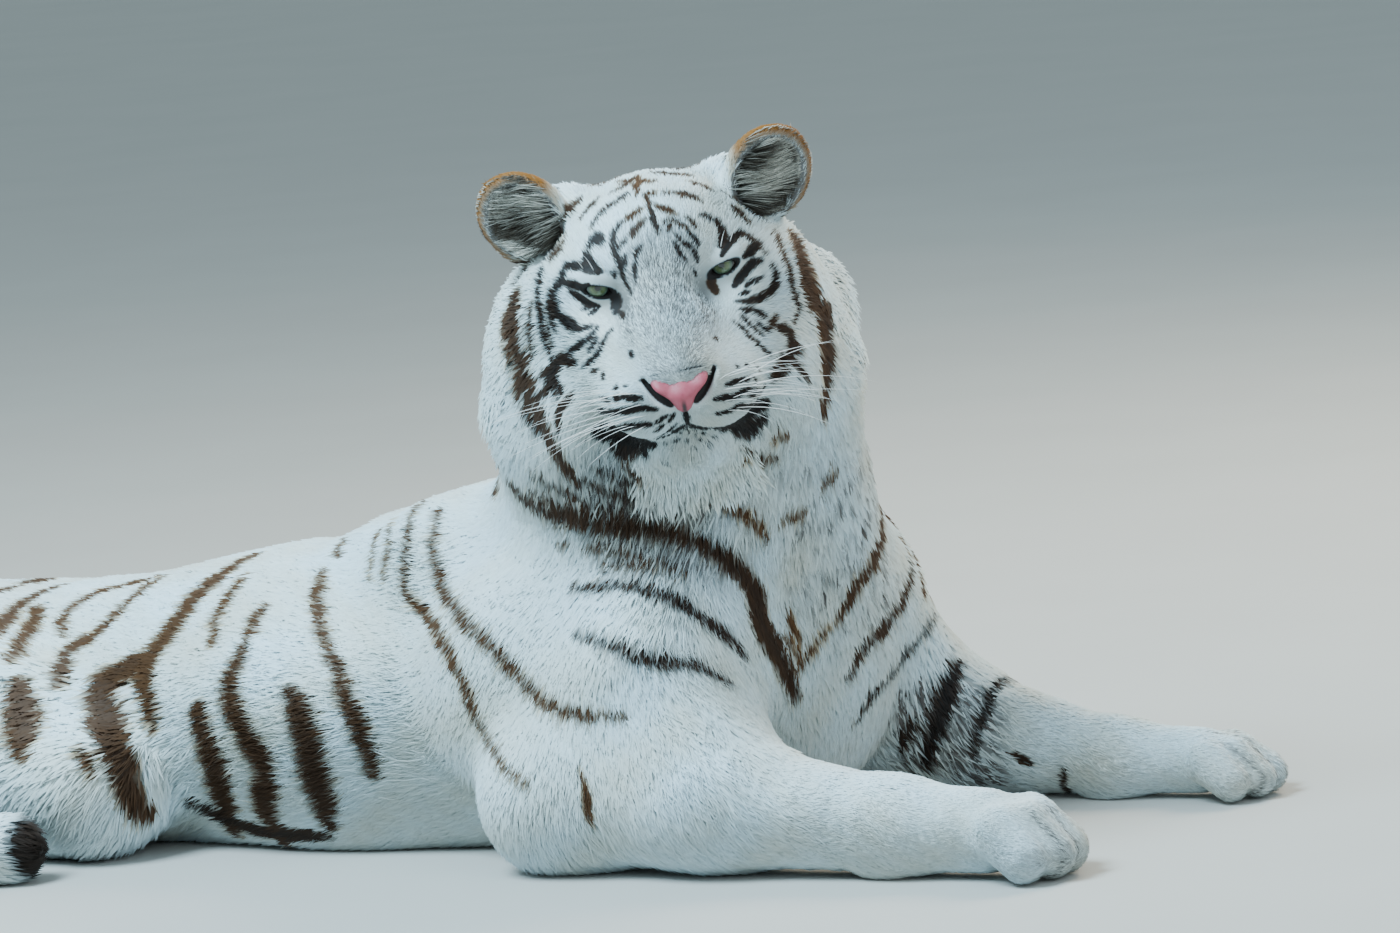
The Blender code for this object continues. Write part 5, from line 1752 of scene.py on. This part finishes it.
# dark edges where the leather meets the hair, and painted shade in the groove
edge = add(leather, "ShaderNodeAttribute", attribute_name="dark")
tone = add(leather, "ShaderNodeMixRGB", Fac=edge.outputs["Fac"], Color1=tone.outputs[0],
           Color2=colour("#3a2226"))
join(leather, tone.outputs[0], surface.inputs["Base Color"])
pebble = add(leather, "ShaderNodeTexVoronoi", Vector=place.outputs["Object"], Scale=per_metre(PEBBLE))
bump = add(leather, "ShaderNodeBump", Strength=0.25, Distance=0.0004, Height=pebble.outputs[0])
join(leather, bump.outputs[0], surface.inputs["Normal"])
nose_piece.data.materials.append(leather)
print(leather.name, "is on the nose")

# %% [markdown]
# The eye's surface is the wet cornea, as smooth as glass, so it mirrors the lamps. Below it lie the black
# pupil, the pale green iris with its dark edge, and the dark brown rim that a tiger's eyeball has around it.
# A ramp over the distance from the pupil's middle gives these rings, and a fine noise the iris's flecks.

# %% Eye
FLECK = 1.111
REACH, PUPIL = 14.0, 0.165
RINGS = [(0.20, "#3c4426"), (0.42, "#5c6a42"), (0.66, "#4a5c50"), (0.76, "#1f2422"), (0.84, "#1c1715"),
         (1.0, "#3c302c")]
eye_material, surface = blank("wet_eye", roughness=0.08)
ring = add(eye_material, "ShaderNodeAttribute", attribute_name="from_pupil").outputs["Fac"]
place = add(eye_material, "ShaderNodeTexCoord")
fleck = add(eye_material, "ShaderNodeTexNoise", Vector=place.outputs["Object"], Scale=per_metre(FLECK),
            Detail=3.0)
far = add(eye_material, "ShaderNodeMath", operation="DIVIDE", input0=ring, input1=REACH)
iris = add(eye_material, "ShaderNodeValToRGB", Fac=far.outputs[0])
bands = iris.color_ramp.elements
bands[0].position, bands[0].color = 0.0, colour("#070606")
bands[1].position, bands[1].color = PUPIL, colour("#070606")
for position, code in RINGS:
    bands.new(position).color = colour(code)
shade = add(eye_material, "ShaderNodeMapRange", Value=fleck.outputs[0], From_Min=0.3, From_Max=0.7,
            To_Min=0.7, To_Max=1.2)
tone = add(eye_material, "ShaderNodeMixRGB", blend_type="MULTIPLY", Fac=1.0, Color1=iris.outputs[0],
           Color2=shade.outputs[0])
join(eye_material, tone.outputs[0], surface.inputs["Base Color"])
surface.inputs["Coat Weight"].default_value = 1.0
surface.inputs["Coat Roughness"].default_value = 0.03
surface.inputs["IOR"].default_value = 1.38
for eyeball in eye_pieces:
    eyeball.data.materials.append(eye_material)
print("the pupil is", round(2 * PUPIL * REACH, 1), "mm wide")

# %% [markdown]
# The floor is smooth concrete, painted matt in a warm pale grey, with the faintest clouds of dust. It is
# only there for the render, and so wide that its edge is far away.

# %% Floor
DUST = 333
bpy.ops.mesh.primitive_plane_add(size=60, location=(0, 0, 0))
floor = bpy.context.active_object
floor.name = "floor"
paint, surface = blank("studio_floor", roughness=0.8)
place = add(paint, "ShaderNodeTexCoord")
dust = add(paint, "ShaderNodeTexNoise", Vector=place.outputs["Object"], Scale=per_metre(DUST), Detail=3.0)
tone = add(paint, "ShaderNodeMixRGB", Fac=dust.outputs[0], Color1=colour("#b9b7b2"),
           Color2=colour("#c1bfba"))
join(paint, tone.outputs[0], surface.inputs["Base Color"])
floor.data.materials.append(paint)
print("the floor is on", paint.name)

# %% [markdown]
# White hair needs soft light from large lamps: hard light would lose its shape in one bright patch. The key
# lamp hangs high on the tiger's right, the side that its face points to. A weak fill lamp ahead opens the
# shadows, and a warm one on its left draws a rim of light along its back.

# %% Light
SKY = 0.84
world = bpy.data.worlds.new("studio")
world.use_nodes = True
world.node_tree.nodes["Background"].inputs[0].default_value = colour("#b9d1da")
world.node_tree.nodes["Background"].inputs[1].default_value = SKY
bpy.context.scene.world = world

aim = Vector(SHIFT) + Vector((-0.1, 0, 0.3))
LAMPS = [
    # name, place from the aim in metres, size in metres, watts, colour
    ("key", (-1.0, -2.2, 3.6), 2.0, 425, "#ccedff"),
    ("fill", (3.2, -1.6, 1.6), 2.5, 50, "#e6f5ff"),
    ("rim", (0.8, 3.0, 2.6), 1.8, 150, "#fff3dc"),
]
for name, away, size, power, code in LAMPS:
    light = bpy.data.lights.new(name, "AREA")
    light.energy, light.size, light.color = power, size, colour(code)[:3]
    lamp = bpy.data.objects.new(name, light)
    lamp.location = aim + Vector(away)
    lamp.rotation_euler = (aim - lamp.location).to_track_quat("-Z", "Y").to_euler()
    bpy.context.scene.collection.objects.link(lamp)
    print(name, "lamp:", power, "W")

# %% [markdown]
# The camera stands seven metres away on the tiger's right, at the height of a person's chest. Its lens is
# long, so that the near paw isn't too big for the head. Its own axes, to its right, up and back, give its
# turn.

# %% Camera
CAMERA_AT = Vector((3.791, -5.772, 1.193))
TO_RIGHT, UPWARDS, BACKWARDS = (0.841, 0.534, -0.087), (0.007, 0.149, 0.989), (0.541, -0.832, 0.122)
NUDGE = 0.0055
camera = bpy.data.objects.new("camera", bpy.data.cameras.new("camera"))
bpy.context.scene.collection.objects.link(camera)
camera.rotation_mode = "QUATERNION"
camera.rotation_quaternion = Matrix((TO_RIGHT, UPWARDS, BACKWARDS)).transposed().to_quaternion()
camera.location = Vector(SHIFT) + CAMERA_AT + NUDGE * Vector(TO_RIGHT)
camera.data.lens = 189.0
camera.data.sensor_width = 36
bpy.context.scene.camera = camera
print("the camera is", round((camera.location - aim).length, 2), "m away")

# %% [markdown]
# Last, the box of the solids is printed. What is seen should agree with it to a fraction of a millimetre,
# or the coat would stand out from the shape that things bump into.

# %% Size
print("cad", [tuple(round(v, 4) for v in corner) for corner in cad_box])
